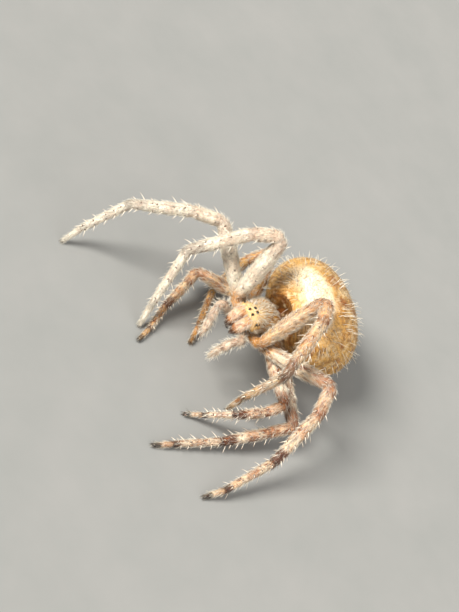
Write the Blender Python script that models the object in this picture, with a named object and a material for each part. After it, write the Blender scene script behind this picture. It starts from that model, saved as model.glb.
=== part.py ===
"""A life-size orb weaver spider, as a still museum model that rests on its feet and belly.

Lengths below are in millimetres and angles in degrees, and become metres when a mesh is made. The spider
faces -Y, its left side is +X, and the floor is z = 0. Body points are given as (ahead, left, up) from the
point midway between the two front eyes, in a frame that is tipped nose-up.
"""

import math

import bmesh
import bpy
from mathutils import Vector

MM = 0.001
GAP = 0.04  # clear space between neighbouring pieces
SIDES = 10  # round a limb
STATION_STEP = 1.9  # between the rings of a straight length
BEND_STEP = 22.0  # degrees, between the rings of a bend
END_TURNS = (30, 60, 82)  # degrees, the rings of a rounded end

# How the body is held.
EYE_HEIGHT = 8.0
NOSE_UP = 12.0

# Carapace, from the face to the back edge: (ahead, half width, crown height, edge height, squareness).
CARAPACE = (
    (0.16, 0.86, -0.24, -0.82, 3.0),
    (0.02, 1.34, -0.03, -1.00, 3.0),
    (-0.55, 1.54, 0.21, -1.30, 2.9),
    (-1.50, 1.60, 0.40, -1.62, 2.5),
    (-2.50, 1.98, 0.34, -1.76, 2.3),
    (-3.50, 2.30, 0.12, -1.78, 2.2),
    (-4.40, 2.18, -0.32, -1.74, 2.2),
    (-5.20, 1.66, -0.84, -1.70, 2.2),
    (-5.75, 0.98, -1.30, -1.74, 2.2),
    (-5.92, 0.50, -1.56, -1.84, 2.2),
)
CARAPACE_SIDES = 26
CARAPACE_SIDE_POWER = 0.92  # spreads the points of a ring towards its edge
CARAPACE_ROOF_POWER = 1 / 1.9
CARAPACE_KEEL = 0.34  # how far the hidden underside hangs below the edge

# Sternum, the plate between the coxae: (ahead, half width), and its top and bottom.
STERNUM = ((-1.05, 0.42), (-1.25, 0.72), (-2.0, 0.98), (-3.0, 1.06), (-3.9, 0.84), (-4.6, 0.46), (-4.9, 0.2))
STERNUM_TOP = -2.16
STERNUM_BOTTOM = -2.86
STERNUM_EDGE = 0.22  # how far its edge is rounded

# Abdomen: an egg on a tilted axis, with blunt shoulders.
ABDOMEN_CENTRE = Vector((0.8, 9.6, 5.1))
ABDOMEN_LENGTH = 12.0
ABDOMEN_HALF_WIDTH = 6.1
ABDOMEN_BACK_HALF_HEIGHT = 4.45
ABDOMEN_BELLY_HALF_HEIGHT = 4.2
ABDOMEN_PITCH = 50.0  # the tail end points down by this
ABDOMEN_TURN = 10.0  # and towards the spider's left by this
ABDOMEN_WIDEST = 0.46  # share of the length from the front
ABDOMEN_SHOULDER_POWER = 2.16
ABDOMEN_CROSS_POWER = 2.14
ABDOMEN_RINGS = 18
ABDOMEN_SIDES = 28
# The front of the abdomen is pressed hollow round the carapace, by a soft ball.
ABDOMEN_HOLLOW_CENTRE = (-3.4, 0.0, -1.4)
ABDOMEN_HOLLOW_RADIUS = 2.82
ABDOMEN_HOLLOW_SOFTNESS = 0.16

PEDICEL_FROM = (-5.2, 0.0, -2.0)
PEDICEL_TO = (-7.2, 0.1, -2.2)
PEDICEL_RADIUS = 0.5

# Spinnerets: a blunt cone on the belly, placed by its share of the abdomen's length.
SPINNERET_ALONG = 0.5
SPINNERET_ROOT = 0.25  # how far it starts inside the belly's surface
SPINNERET_LENGTH = 0.62
SPINNERET_RADII = (0.72, 0.6, 0.36)

# Chelicerae, fangs and palps, for the left side.
CHELICERA = ((-0.45, 0.56, -0.62), (0.36, 0.60, -1.45), (0.44, 0.49, -2.55), (0.42, 0.46, -2.78))
CHELICERA_RADII = (0.50, 0.63, 0.47, 0.32)
CHELICERA_SWELL = (0.04, 0.05, 0.0)
FANG = ((0.36, 0.40, -2.72), (0.30, 0.36, -3.14), (-0.02, 0.16, -3.38))
FANG_RADII = (0.17, 0.13, 0.06)
PALP = ((-0.95, 0.85, -2.6), (-0.1, 1.3, -2.45))
PALP_LENGTHS = (1.7, 1.0, 1.2, 1.6)
PALP_RADII = (0.38, 0.38, 0.42, 0.43, 0.45, 0.28)
PALP_SWELL = (0.0, 0.03, 0.02, 0.03, 0.04)
PALP_POSE = {
    "L": ((37, 34), (-6, -6), (-3, -46), (-20, -78)),
    "R": ((-39, 37), (27, -23), (47, -41), (46, -45)),
}

# Eyes, for the left side: (name, place, radius).
EYES = (
    ("eye_front_middle", (0.01, 0.30, -0.04), 0.135),
    ("eye_back_middle", (-0.52, 0.24, 0.18), 0.135),
    ("eye_front_side", (-0.26, 1.24, -0.36), 0.115),
    ("eye_back_side", (-0.52, 1.29, -0.31), 0.115),
)

# Legs, for the left side: root of the coxa and the joint where the femur starts.
COXAE = {
    1: ((-1.75, 0.95, -2.55), (-1.3, 2.6, -1.88)),
    2: ((-2.5, 1.05, -2.6), (-2.45, 3.05, -2.2)),
    3: ((-3.25, 1.05, -2.65), (-3.6, 3.1, -2.7)),
    4: ((-4.0, 0.9, -2.65), (-4.8, 2.8, -2.45)),
}
# Femur, patella, tibia, metatarsus and tarsus.
LEG_LENGTHS = {
    1: (7.9, 3.2, 6.4, 6.3, 2.2),
    2: (7.3, 3.1, 6.0, 5.6, 2.1),
    3: (5.5, 2.1, 3.3, 3.2, 1.7),
    4: (7.9, 2.8, 5.0, 5.2, 1.9),
}
# Radius at the coxa, femur start, knee, patella end, tibia end, metatarsus end and toe, coat and all.
LEG_RADII = {
    1: (0.56, 0.56, 0.70, 0.66, 0.52, 0.38, 0.27),
    2: (0.56, 0.55, 0.66, 0.62, 0.49, 0.37, 0.27),
    3: (0.54, 0.50, 0.54, 0.49, 0.40, 0.31, 0.26),
    4: (0.56, 0.54, 0.60, 0.55, 0.44, 0.34, 0.27),
}
LEG_SWELL = (0.0, 0.20, 0.03, 0.06, 0.0, 0.0)  # how much fatter each length is in its middle
# Heading (0 is straight ahead, + is to the left) and lift above the floor, of the five lengths of each leg.
LEG_POSE = {
    "L1": ((-172, 46), (44, 2), (35, -29), (-80, -80), (-6, -74)),
    "R1": ((-143, 65), (-34, -26), (-23, -47), (44, -52), (49, -51)),
    "L2": ((114, 23), (46, -28), (27, -42), (8, -19), (-4, -21)),
    "R2": ((-81, 31), (-39, -11), (-28, -18), (-15, -60), (8, -51)),
    "L3": ((80, -4), (0, -24), (-10, -3), (-39, -42), (-34, -37)),
    "R3": ((-72, -26), (31, -4), (27, -19), (34, -13), (26, -6)),
    "L4": ((83, -15), (-7, -14), (-8, -11), (-13, -5), (-13, -6)),
    "R4": ((-142, -5), (-7, -34), (21, -18), (43, -2), (40, -13)),
}
TOE_SINK = 0.05  # the round toe is cut flat by this much, where it meets the floor

COLOURS = {
    "carapace": (0.62, 0.40, 0.17),
    "abdomen": (0.66, 0.45, 0.18),
    "leg": (0.72, 0.52, 0.34),
    "mouth": (0.50, 0.24, 0.09),
    "eye": (0.01, 0.008, 0.006),
    "fang": (0.02, 0.01, 0.008),
}


def clear_scene():
    for thing in list(bpy.data.objects):
        bpy.data.objects.remove(thing)


def material(name, roughness):
    made = bpy.data.materials.new(name)
    made.use_nodes = True
    shader = made.node_tree.nodes["Principled BSDF"]
    shader.inputs["Base Color"].default_value = (*COLOURS[name], 1.0)
    shader.inputs["Roughness"].default_value = roughness
    shader.inputs["Metallic"].default_value = 0.0
    return made


def body_point(ahead, left, up):
    """A point of the tipped body frame, in world millimetres."""
    tip = math.radians(NOSE_UP)
    return Vector(
        (
            left,
            -ahead * math.cos(tip) + up * math.sin(tip),
            EYE_HEIGHT + ahead * math.sin(tip) + up * math.cos(tip),
        )
    )


def direction(heading, lift):
    heading, lift = math.radians(heading), math.radians(lift)
    return Vector(
        (
            math.sin(heading) * math.cos(lift),
            -math.cos(heading) * math.cos(lift),
            math.sin(lift),
        )
    )


def mirrored(point, side):
    ahead, left, up = point
    return (ahead, left if side == "L" else -left, up)


# ---- meshes from rings ----


def loft(rings):
    """A closed mesh through rings of equal count, capped at both ends."""
    mesh = bmesh.new()
    rows = [[mesh.verts.new(point) for point in ring] for ring in rings]
    count = len(rows[0])
    for low, high in zip(rows[:-1], rows[1:]):
        for i in range(count):
            j = (i + 1) % count
            mesh.faces.new((low[i], low[j], high[j], high[i]))
    mesh.faces.new(rows[0][::-1])
    mesh.faces.new(rows[-1])
    bmesh.ops.recalc_face_normals(mesh, faces=mesh.faces)
    return mesh


def ring(centre, tangent, across, radius, sides=SIDES):
    """A circle of points round a centre, starting from the direction across."""
    other = tangent.cross(across)
    angles = [2 * math.pi * i / sides for i in range(sides)]
    return [centre + radius * (across * math.cos(angle) + other * math.sin(angle)) for angle in angles]


def bent_path(points, radii, swells):
    """Rounds the corners of a limb. Gives its stations as [centre, tangent, radius], and where in that list
    the middle of each bend is."""
    stations = []
    middles = []
    lengths = [(b - a).length for a, b in zip(points[:-1], points[1:])]
    ways = [(b - a).normalized() for a, b in zip(points[:-1], points[1:])]
    start = points[0]
    for i, way in enumerate(ways):
        last = i == len(ways) - 1
        if last:
            end, bend = points[-1], 0.0
        else:
            bend = way.angle(ways[i + 1])
            set_back = min(1.04 * radii[i + 1] * math.tan(bend / 2), 0.42 * min(lengths[i], lengths[i + 1]))
            end = points[i + 1] - way * set_back
        span = (end - start).length
        steps = max(1, round(span / STATION_STEP))
        for k in range(steps + (1 if last else 0)):
            share = k / steps
            radius = radii[i] + (radii[i + 1] - radii[i]) * share + swells[i] * math.sin(math.pi * share)
            stations.append([start + (end - start) * share, way, radius])
        if last:
            break
        next_way = ways[i + 1]
        turns = 2 * max(1, round(math.degrees(bend) / (2 * BEND_STEP)))
        round_off = set_back / math.tan(bend / 2)
        axis = way.cross(next_way).normalized()
        inward = axis.cross(way)
        hub = end + inward * round_off
        for k in range(turns):
            angle = bend * k / turns
            centre = hub - inward * round_off * math.cos(angle) + way * round_off * math.sin(angle)
            tangent = way * math.cos(angle) + inward * math.sin(angle)
            if k:
                stations.append([centre, tangent, radii[i + 1]])
            if k == turns // 2:
                middles.append(len(stations) - 1)
        start = points[i + 1] + next_way * set_back
    return stations, middles


def carried(stations):
    """The direction across each station, carried along the limb without twist."""
    first = stations[0][1]
    across = first.cross(Vector((0.31, 0.24, 0.92))).normalized()
    made = []
    for _, tangent, _ in stations:
        across = (across - tangent * across.dot(tangent)).normalized()
        made.append(across)
    return made


def tube(stations, across, grow=0.0):
    """A limb's mesh. A grown one is larger all round by that much, its ends as well."""
    rings = []
    for n, ((centre, tangent, radius), side) in enumerate(zip(stations, across)):
        out = -grow if n == 0 else grow if n == len(stations) - 1 else 0.0
        rings.append(ring(centre + tangent * out, tangent, side, radius + grow))
    return loft(rings)


def rounded_end(stations, across):
    """Adds a half ball after the last station."""
    centre, tangent, radius = stations[-1]
    for angle in END_TURNS:
        turn = math.radians(angle)
        stations.append([centre + tangent * radius * math.sin(turn), tangent, radius * math.cos(turn)])
        across.append(across[-1])


def trim(mesh, point, outward):
    """Cuts off what lies beyond a plane, and closes the cut."""
    bmesh.ops.bisect_plane(
        mesh,
        geom=mesh.verts[:] + mesh.edges[:] + mesh.faces[:],
        dist=1e-6,
        plane_co=point,
        plane_no=outward,
        clear_outer=True,
    )
    rims = [edge for edge in mesh.edges if edge.is_boundary]
    if rims:
        bmesh.ops.contextual_create(mesh, geom=rims)
        bmesh.ops.recalc_face_normals(mesh, faces=mesh.faces)


def floor_cut(mesh):
    trim(mesh, Vector((0, 0, 0)), Vector((0, 0, -1)))


# ---- objects ----


def make_object(name, mesh, finish):
    for vert in mesh.verts:
        vert.co *= MM
    data = bpy.data.meshes.new(name)
    mesh.to_mesh(data)
    mesh.free()
    data.materials.append(finish)
    made = bpy.data.objects.new(name, data)
    bpy.context.scene.collection.objects.link(made)
    return made


def make_cutter(name, mesh, finish):
    """A hidden helper, which is only cut away from its neighbours."""
    made = make_object(name, mesh, finish)
    made.hide_render = True
    made.display_type = "WIRE"
    return made


def cut_from(piece, cutter):
    cut = piece.modifiers.new("clear_of_" + cutter.name, "BOOLEAN")
    cut.operation = "DIFFERENCE"
    cut.solver = "EXACT"
    cut.object = cutter


# ---- the body ----


def carapace_mesh(grow=0.0):
    """A domed shield, tucked in below its edge."""
    rings = []
    top = CARAPACE_SIDES // 2 + 1
    for n, (ahead, half_width, crown, edge, squareness) in enumerate(CARAPACE):
        ahead += grow if n == 0 else -grow if n == len(CARAPACE) - 1 else 0.0
        points = []
        for i in range(top):
            angle = math.pi * i / (top - 1)
            side = math.copysign(abs(math.cos(angle)) ** CARAPACE_SIDE_POWER, math.cos(angle))
            rise = (1 - abs(side) ** squareness) ** CARAPACE_ROOF_POWER
            points.append((side * (half_width + grow), edge + (crown + grow - edge) * rise))
        below = CARAPACE_SIDES - top
        keel = CARAPACE_KEEL + grow
        for i in range(1, below + 1):
            angle = math.pi * i / (below + 1)
            points.append((-math.cos(angle) * (half_width + grow), edge - keel * math.sin(angle)))
        rings.append([body_point(ahead, left, up) for left, up in points])
    return loft(rings)


def sternum_mesh(grow=0.0):
    """A flat shield with rounded edges."""
    rings = []
    for n, (ahead, half_width) in enumerate(STERNUM):
        ahead += grow if n == 0 else -grow if n == len(STERNUM) - 1 else 0.0
        wide, low, high = half_width + grow, STERNUM_BOTTOM - grow, STERNUM_TOP + grow
        soft = STERNUM_EDGE
        outline = (
            (wide, high - soft),
            (wide, low + soft),
            (wide - 0.5 * soft, low + 0.3 * soft),
            (0.5 * wide, low),
            (-0.5 * wide, low),
            (-wide + 0.5 * soft, low + 0.3 * soft),
            (-wide, low + soft),
            (-wide, high - soft),
            (-0.6 * wide, high),
            (0.6 * wide, high),
        )
        rings.append([body_point(ahead, left, up) for left, up in outline])
    return loft(rings)


def abdomen_axes():
    """Along (to the tail), across (to the left) and back (out of the back)."""
    pitch, turn = math.radians(ABDOMEN_PITCH), math.radians(ABDOMEN_TURN)
    along = Vector((math.sin(turn) * math.cos(pitch), math.cos(turn) * math.cos(pitch), -math.sin(pitch)))
    across = Vector((math.cos(turn), -math.sin(turn), 0.0))
    return along, across, across.cross(along)


def abdomen_girth(share):
    """Relative thickness at a share of the length: blunt in front, rounder behind."""
    reach = ABDOMEN_WIDEST if share < ABDOMEN_WIDEST else 1 - ABDOMEN_WIDEST
    off = abs(share - ABDOMEN_WIDEST) / reach
    power = ABDOMEN_SHOULDER_POWER if share < ABDOMEN_WIDEST else 2.0
    return (1 - min(off, 1.0) ** power) ** 0.5


def abdomen_surface(share, angle, grow=0.0):
    """A point of the abdomen, at a share of its length and an angle round it from its left side."""
    along, across, back = abdomen_axes()
    girth = abdomen_girth(share)
    c, s = math.cos(angle), math.sin(angle)
    power = 2 / ABDOMEN_CROSS_POWER
    wide = math.copysign(abs(c) ** power, c) * (ABDOMEN_HALF_WIDTH * girth + grow)
    half_height = ABDOMEN_BACK_HALF_HEIGHT if s > 0 else ABDOMEN_BELLY_HALF_HEIGHT
    high = math.copysign(abs(s) ** power, s) * (half_height * girth + grow)
    return ABDOMEN_CENTRE + along * (ABDOMEN_LENGTH * (share - 0.5)) + across * wide + back * high


def hollow_front(point, grow):
    """Presses the front of the abdomen back, to lie round the end of the carapace."""
    centre = body_point(*ABDOMEN_HOLLOW_CENTRE)
    away = (point - centre).normalized()
    short = ABDOMEN_HOLLOW_RADIUS - grow - (point - centre).length
    soft = ABDOMEN_HOLLOW_SOFTNESS
    return point + away * (soft * math.log1p(math.exp(short / soft)))


def abdomen_mesh(grow=0.0):
    rings = []
    for n in range(ABDOMEN_RINGS):
        share = 0.5 - 0.5 * math.cos(math.pi * (n + 0.5) / ABDOMEN_RINGS)
        angles = [2 * math.pi * i / ABDOMEN_SIDES for i in range(ABDOMEN_SIDES)]
        rings.append([hollow_front(abdomen_surface(share, angle, grow), grow) for angle in angles])
    mesh = loft(rings)
    floor_cut(mesh)
    return mesh


def limb_mesh(points, radii, grow=0.0):
    """A short limb with both ends cut square, such as a chelicera."""
    stations, _ = bent_path(points, radii, [0.0] * (len(points) - 1))
    return tube(stations, carried(stations), grow)


def make_trunk(finishes):
    carapace = make_object("carapace", carapace_mesh(), finishes["carapace"])
    sternum = make_object("sternum", sternum_mesh(), finishes["mouth"])
    abdomen = make_object("abdomen", abdomen_mesh(), finishes["abdomen"])
    cutters = {
        "carapace": make_cutter("cutter_carapace", carapace_mesh(GAP), finishes["carapace"]),
        "sternum": make_cutter("cutter_sternum", sternum_mesh(GAP), finishes["mouth"]),
        "abdomen": make_cutter("cutter_abdomen", abdomen_mesh(GAP), finishes["abdomen"]),
    }
    cut_from(sternum, cutters["carapace"])
    ends = [body_point(*PEDICEL_FROM), body_point(*PEDICEL_TO)]
    pedicel = make_object("pedicel", limb_mesh(ends, (PEDICEL_RADIUS, PEDICEL_RADIUS)), finishes["carapace"])
    for cutter in cutters.values():
        cut_from(pedicel, cutter)
    return [carapace, sternum, abdomen, pedicel], cutters


def make_spinnerets(finishes, cutters):
    """A blunt cone, on the belly side of the abdomen."""
    _, across, back = abdomen_axes()
    base = abdomen_surface(SPINNERET_ALONG, math.radians(-90)) + back * SPINNERET_ROOT
    tip = base - back * (SPINNERET_ROOT + SPINNERET_LENGTH)
    centres = (base, (base + tip) / 2, tip)
    rings = [ring(centre, -back, across, radius) for centre, radius in zip(centres, SPINNERET_RADII)]
    made = make_object("spinnerets", loft(rings), finishes["mouth"])
    cut_from(made, cutters["abdomen"])
    return made


def make_mouth(finishes, cutters):
    """Chelicerae, fangs and palps, of both sides."""
    made = []
    for side in "LR":
        middle_out = Vector((-1 if side == "L" else 1, 0, 0))
        middle = -middle_out * GAP / 2
        points = [body_point(*mirrored(point, side)) for point in CHELICERA]
        stations, _ = bent_path(points, CHELICERA_RADII, CHELICERA_SWELL)
        across = carried(stations)
        grown = tube(stations, across, GAP)
        mesh = tube(stations, across)
        trim(mesh, middle, middle_out)
        chelicera = make_object("chelicera_" + side, mesh, finishes["mouth"])
        cutter = make_cutter("cutter_chelicera_" + side, grown, finishes["mouth"])
        cut_from(chelicera, cutters["carapace"])
        fang_points = [body_point(*mirrored(point, side)) for point in FANG]
        fang = make_object("fang_" + side, limb_mesh(fang_points, FANG_RADII), finishes["fang"])
        cut_from(fang, cutter)
        palp = make_palp(side, finishes)
        for other in (cutters["carapace"], cutters["sternum"], cutter):
            cut_from(palp, other)
        made += [chelicera, fang, palp]
    return made


def make_palp(side, finishes):
    points = [body_point(*mirrored(point, side)) for point in PALP]
    for length, (heading, lift) in zip(PALP_LENGTHS, PALP_POSE[side]):
        points.append(points[-1] + direction(heading, lift) * length)
    stations, _ = bent_path(points, PALP_RADII, PALP_SWELL)
    across = carried(stations)
    rounded_end(stations, across)
    mesh = tube(stations, across)
    for point, outward in coxa_planes(0, side):
        trim(mesh, point, outward)
    return make_object("palp_" + side, mesh, finishes["leg"])


def make_eyes(finishes, cutters):
    made = []
    for name, place, radius in EYES:
        for side in "LR":
            mesh = bmesh.new()
            bmesh.ops.create_icosphere(mesh, subdivisions=2, radius=radius)
            bmesh.ops.translate(mesh, vec=body_point(*mirrored(place, side)), verts=mesh.verts)
            eye = make_object(name + "_" + side, mesh, finishes["eye"])
            cut_from(eye, cutters["carapace"])
            made.append(eye)
    return made


# ---- the legs ----


def leg_points(name):
    """The corners of a leg, from the coxa's root to the toe, which ends on the floor."""
    side, number = name[0], int(name[1])
    root, joint = COXAE[number]
    points = [body_point(*mirrored(root, side)), body_point(*mirrored(joint, side))]
    lengths = LEG_LENGTHS[number]
    toe_height = LEG_RADII[number][-1] - TOE_SINK
    for length, (heading, lift) in zip(lengths[:-1], LEG_POSE[name][:-1]):
        points.append(points[-1] + direction(heading, lift) * length)
    drop = (toe_height - points[-1].z) / lengths[-1]
    lift = math.degrees(math.asin(max(-0.999, min(0.999, drop))))
    points.append(points[-1] + direction(LEG_POSE[name][-1][0], lift) * lengths[-1])
    return points


def coxa_planes(number, side):
    """The planes that part a limb's base from its neighbours, as (point, outward) pairs.
    The palp is number 0."""
    bases = {0: PALP, **COXAE}
    root, joint = (body_point(*mirrored(point, side)) for point in bases[number])
    up = body_point(0, 0, 1) - body_point(0, 0, 0)
    planes = []
    for other in (number - 1, number + 1):
        if other not in bases:
            continue
        other_root, other_joint = (body_point(*mirrored(point, side)) for point in bases[other])
        middle = (root + other_root) / 2
        way = (joint + other_joint) / 2 - middle
        outward = way.cross(up).normalized()
        if outward.dot(other_root - root) < 0:
            outward = -outward
        planes.append((middle - outward * GAP / 2, outward))
    return planes


def make_leg(name, finishes, cutters):
    """Coxa, femur, tibia with its patella, and foot, parted by thin cuts at three bends."""
    side, number = name[0], int(name[1])
    stations, bends = bent_path(leg_points(name), LEG_RADII[number], LEG_SWELL)
    across = carried(stations)
    rounded_end(stations, across)
    cuts = [bends[0], bends[1], bends[3]]
    starts = [0] + cuts
    ends = cuts + [len(stations) - 1]
    made = []
    for part, start, end in zip(("coxa", "femur", "tibia", "foot"), starts, ends):
        piece = [list(station) for station in stations[start : end + 1]]
        if start:
            piece[0][0] = piece[0][0] + piece[0][1] * GAP / 2
        if part != "foot":
            piece[-1][0] = piece[-1][0] - piece[-1][1] * GAP / 2
        mesh = tube(piece, across[start : end + 1])
        if part == "coxa":
            for point, outward in coxa_planes(number, side):
                trim(mesh, point, outward)
        floor_cut(mesh)
        limb = make_object(part + "_" + name, mesh, finishes["leg"])
        if part == "coxa":
            cut_from(limb, cutters["carapace"])
            cut_from(limb, cutters["sternum"])
        made.append(limb)
    return made


def set_origin_under_middle(pieces):
    """Slides the whole model so that z = 0 is the floor and the origin lies under the middle of its box."""
    bpy.context.view_layer.update()
    corners = [piece.matrix_world @ Vector(corner) for piece in pieces for corner in piece.bound_box]
    middle = Vector([(min(c[i] for c in corners) + max(c[i] for c in corners)) / 2 for i in range(2)] + [0.0])
    for thing in bpy.data.objects:
        thing.location -= middle


def build():
    clear_scene()
    finishes = {
        "carapace": material("carapace", 0.45),
        "abdomen": material("abdomen", 0.6),
        "leg": material("leg", 0.5),
        "mouth": material("mouth", 0.35),
        "eye": material("eye", 0.08),
        "fang": material("fang", 0.15),
    }
    pieces, cutters = make_trunk(finishes)
    pieces.append(make_spinnerets(finishes, cutters))
    pieces += make_mouth(finishes, cutters)
    pieces += make_eyes(finishes, cutters)
    for name in LEG_POSE:
        pieces += make_leg(name, finishes, cutters)
    set_origin_under_middle(pieces)


build()
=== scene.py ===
import math

import bpy
import numpy as np
from mathutils import Matrix, Vector
from mathutils.kdtree import KDTree


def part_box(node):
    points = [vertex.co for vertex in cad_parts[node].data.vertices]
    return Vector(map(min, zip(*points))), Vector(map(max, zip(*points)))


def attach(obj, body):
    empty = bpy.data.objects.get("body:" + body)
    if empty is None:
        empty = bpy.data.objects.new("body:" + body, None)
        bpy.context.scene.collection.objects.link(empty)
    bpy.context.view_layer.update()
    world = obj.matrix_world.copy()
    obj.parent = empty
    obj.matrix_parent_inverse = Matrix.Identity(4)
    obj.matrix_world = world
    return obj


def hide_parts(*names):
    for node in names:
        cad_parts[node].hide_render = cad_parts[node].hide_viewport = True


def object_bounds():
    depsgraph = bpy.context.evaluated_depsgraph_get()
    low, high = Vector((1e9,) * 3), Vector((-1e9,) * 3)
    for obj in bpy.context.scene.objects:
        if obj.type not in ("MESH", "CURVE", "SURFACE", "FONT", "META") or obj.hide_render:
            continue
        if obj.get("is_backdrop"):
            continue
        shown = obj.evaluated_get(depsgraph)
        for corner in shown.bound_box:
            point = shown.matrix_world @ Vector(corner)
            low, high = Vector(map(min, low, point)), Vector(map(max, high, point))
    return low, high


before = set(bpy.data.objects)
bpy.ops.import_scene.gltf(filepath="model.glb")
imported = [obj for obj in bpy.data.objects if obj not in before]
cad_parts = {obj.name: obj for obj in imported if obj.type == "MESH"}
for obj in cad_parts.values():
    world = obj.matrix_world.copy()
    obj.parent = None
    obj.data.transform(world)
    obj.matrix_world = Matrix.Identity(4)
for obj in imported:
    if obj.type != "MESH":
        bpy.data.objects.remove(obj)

# The looks of a life-size orb weaver spider: one skin over all the flesh, a coat of solid hairs and spines,
# eyes, fangs and claws. Lengths are in millimetres and become metres when a mesh is made. The spider faces -Y
# and its left side is +X. Body points are (ahead, left, up) from the point midway between its front eyes, in
# a frame that is tipped nose-up.

MM = 0.001
CAD_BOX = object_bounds()
RANDOM = np.random.default_rng(7)

# ---- the body's sizes and pose, as in the solids ----

EYE_HEIGHT = 8.0
NOSE_UP = math.radians(12.0)

# Carapace rows: (ahead, half width, crown height, edge height, squareness).
CARAPACE = (
    (0.16, 0.86, -0.24, -0.82, 3.0),
    (0.02, 1.34, -0.03, -1.00, 3.0),
    (-0.55, 1.54, 0.21, -1.30, 2.9),
    (-1.50, 1.60, 0.40, -1.62, 2.5),
    (-2.50, 1.98, 0.34, -1.76, 2.3),
    (-3.50, 2.30, 0.12, -1.78, 2.2),
    (-4.40, 2.18, -0.32, -1.74, 2.2),
    (-5.20, 1.66, -0.84, -1.70, 2.2),
    (-5.75, 0.98, -1.30, -1.74, 2.2),
    (-5.92, 0.50, -1.56, -1.84, 2.2),
)
CARAPACE_SIDE_POWER = 0.92
CARAPACE_ROOF_POWER = 1 / 1.9
CARAPACE_KEEL = 0.34
STERNUM = ((-1.05, 0.42), (-1.25, 0.72), (-2.0, 0.98), (-3.0, 1.06), (-3.9, 0.84), (-4.6, 0.46), (-4.9, 0.2))
STERNUM_TOP = -2.16
STERNUM_BOTTOM = -2.86

ABDOMEN_CENTRE = np.array((0.8, 9.6, 5.1))
ABDOMEN_LENGTH = 12.0
ABDOMEN_HALF_WIDTH = 6.1
ABDOMEN_BACK_HALF_HEIGHT = 4.45
ABDOMEN_BELLY_HALF_HEIGHT = 4.2
ABDOMEN_PITCH = 50.0  # degrees that its tail end hangs
ABDOMEN_TURN = 10.0  # and points to the left
ABDOMEN_WIDEST = 0.46
ABDOMEN_SHOULDER_POWER = 2.16
ABDOMEN_CROSS_POWER = 2.14
HOLLOW_CENTRE = (-3.4, 0.0, -1.4)
HOLLOW_RADIUS = 2.82
HOLLOW_SOFTNESS = 0.16
PEDICEL = ((-5.2, 0.0, -2.0), (-7.2, 0.1, -2.2))
PEDICEL_RADIUS = 0.5
SPINNERET_ALONG = 0.5
# Both pairs of spinnerets: (along the abdomen from the mound's middle, lean of the tip, radius).
SPINNERETS = ((-0.026, -0.02, 0.21), (0.028, 0.012, 0.18))

CHELICERA = ((-0.45, 0.56, -0.62), (0.36, 0.60, -1.45), (0.44, 0.49, -2.55), (0.42, 0.46, -2.78))
CHELICERA_RADII = (0.50, 0.63, 0.47, 0.32)
CHELICERA_SWELL = (0.04, 0.05, 0.0)
ENDITE = ((-1.2, 0.5, -2.55), (-0.5, 0.42, -2.68), (-0.2, 0.36, -2.7))
ENDITE_RADII = (0.3, 0.33, 0.2)
FANG = ((0.36, 0.40, -2.72), (0.30, 0.36, -3.14), (-0.02, 0.16, -3.38))
FANG_RADII = (0.17, 0.13, 0.03)
PALP = ((-0.95, 0.85, -2.6), (-0.1, 1.3, -2.45))
PALP_LENGTHS = (1.7, 1.0, 1.2, 1.6)
PALP_RADII = (0.38, 0.38, 0.42, 0.43, 0.45, 0.28)
PALP_SWELL = (0.0, 0.03, 0.02, 0.03, 0.04)
PALP_POSE = {
    "L": ((37, 34), (-6, -6), (-3, -46), (-20, -78)),
    "R": ((-39, 37), (27, -23), (47, -41), (46, -45)),
}
# Eyes of the left side: (name, place, radius, the way in which it looks).
EYES = (
    ("front_middle", (0.01, 0.30, -0.04), 0.125, (0.72, 0.42, 0.5)),
    ("back_middle", (-0.52, 0.24, 0.18), 0.155, (0.1, 0.34, 0.93)),
    ("front_side", (-0.26, 1.24, -0.36), 0.115, (0.62, 0.72, 0.3)),
    ("back_side", (-0.52, 1.29, -0.31), 0.115, (-0.3, 0.86, 0.42)),
)
SOLID_EYE_RADIUS = 0.135  # of the front middle eyes in the solids
COXAE = {
    1: ((-1.75, 0.95, -2.55), (-1.3, 2.6, -1.88)),
    2: ((-2.5, 1.05, -2.6), (-2.45, 3.05, -2.2)),
    3: ((-3.25, 1.05, -2.65), (-3.6, 3.1, -2.7)),
    4: ((-4.0, 0.9, -2.65), (-4.8, 2.8, -2.45)),
}
# Femur, patella, tibia, metatarsus and tarsus.
LEG_LENGTHS = {
    1: (7.9, 3.2, 6.4, 6.3, 2.2),
    2: (7.3, 3.1, 6.0, 5.6, 2.1),
    3: (5.5, 2.1, 3.3, 3.2, 1.7),
    4: (7.9, 2.8, 5.0, 5.2, 1.9),
}
LEG_RADII = {
    1: (0.56, 0.56, 0.70, 0.66, 0.52, 0.38, 0.27),
    2: (0.56, 0.55, 0.66, 0.62, 0.49, 0.37, 0.27),
    3: (0.54, 0.50, 0.54, 0.49, 0.40, 0.31, 0.26),
    4: (0.56, 0.54, 0.60, 0.55, 0.44, 0.34, 0.27),
}
LEG_SWELL = (0.0, 0.20, 0.03, 0.06, 0.0, 0.0)
LEG_POSE = {
    "L1": ((-172, 46), (44, 2), (35, -29), (-80, -80), (-6, -74)),
    "R1": ((-143, 65), (-34, -26), (-23, -47), (44, -52), (49, -51)),
    "L2": ((114, 23), (46, -28), (27, -42), (8, -19), (-4, -21)),
    "R2": ((-81, 31), (-39, -11), (-28, -18), (-15, -60), (8, -51)),
    "L3": ((80, -4), (0, -24), (-10, -3), (-39, -42), (-34, -37)),
    "R3": ((-72, -26), (31, -4), (27, -19), (34, -13), (26, -6)),
    "L4": ((83, -15), (-7, -14), (-8, -11), (-13, -5), (-13, -6)),
    "R4": ((-142, -5), (-7, -34), (21, -18), (43, -2), (40, -13)),
}
TOE_SINK = 0.05

# ---- the skin ----

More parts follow.
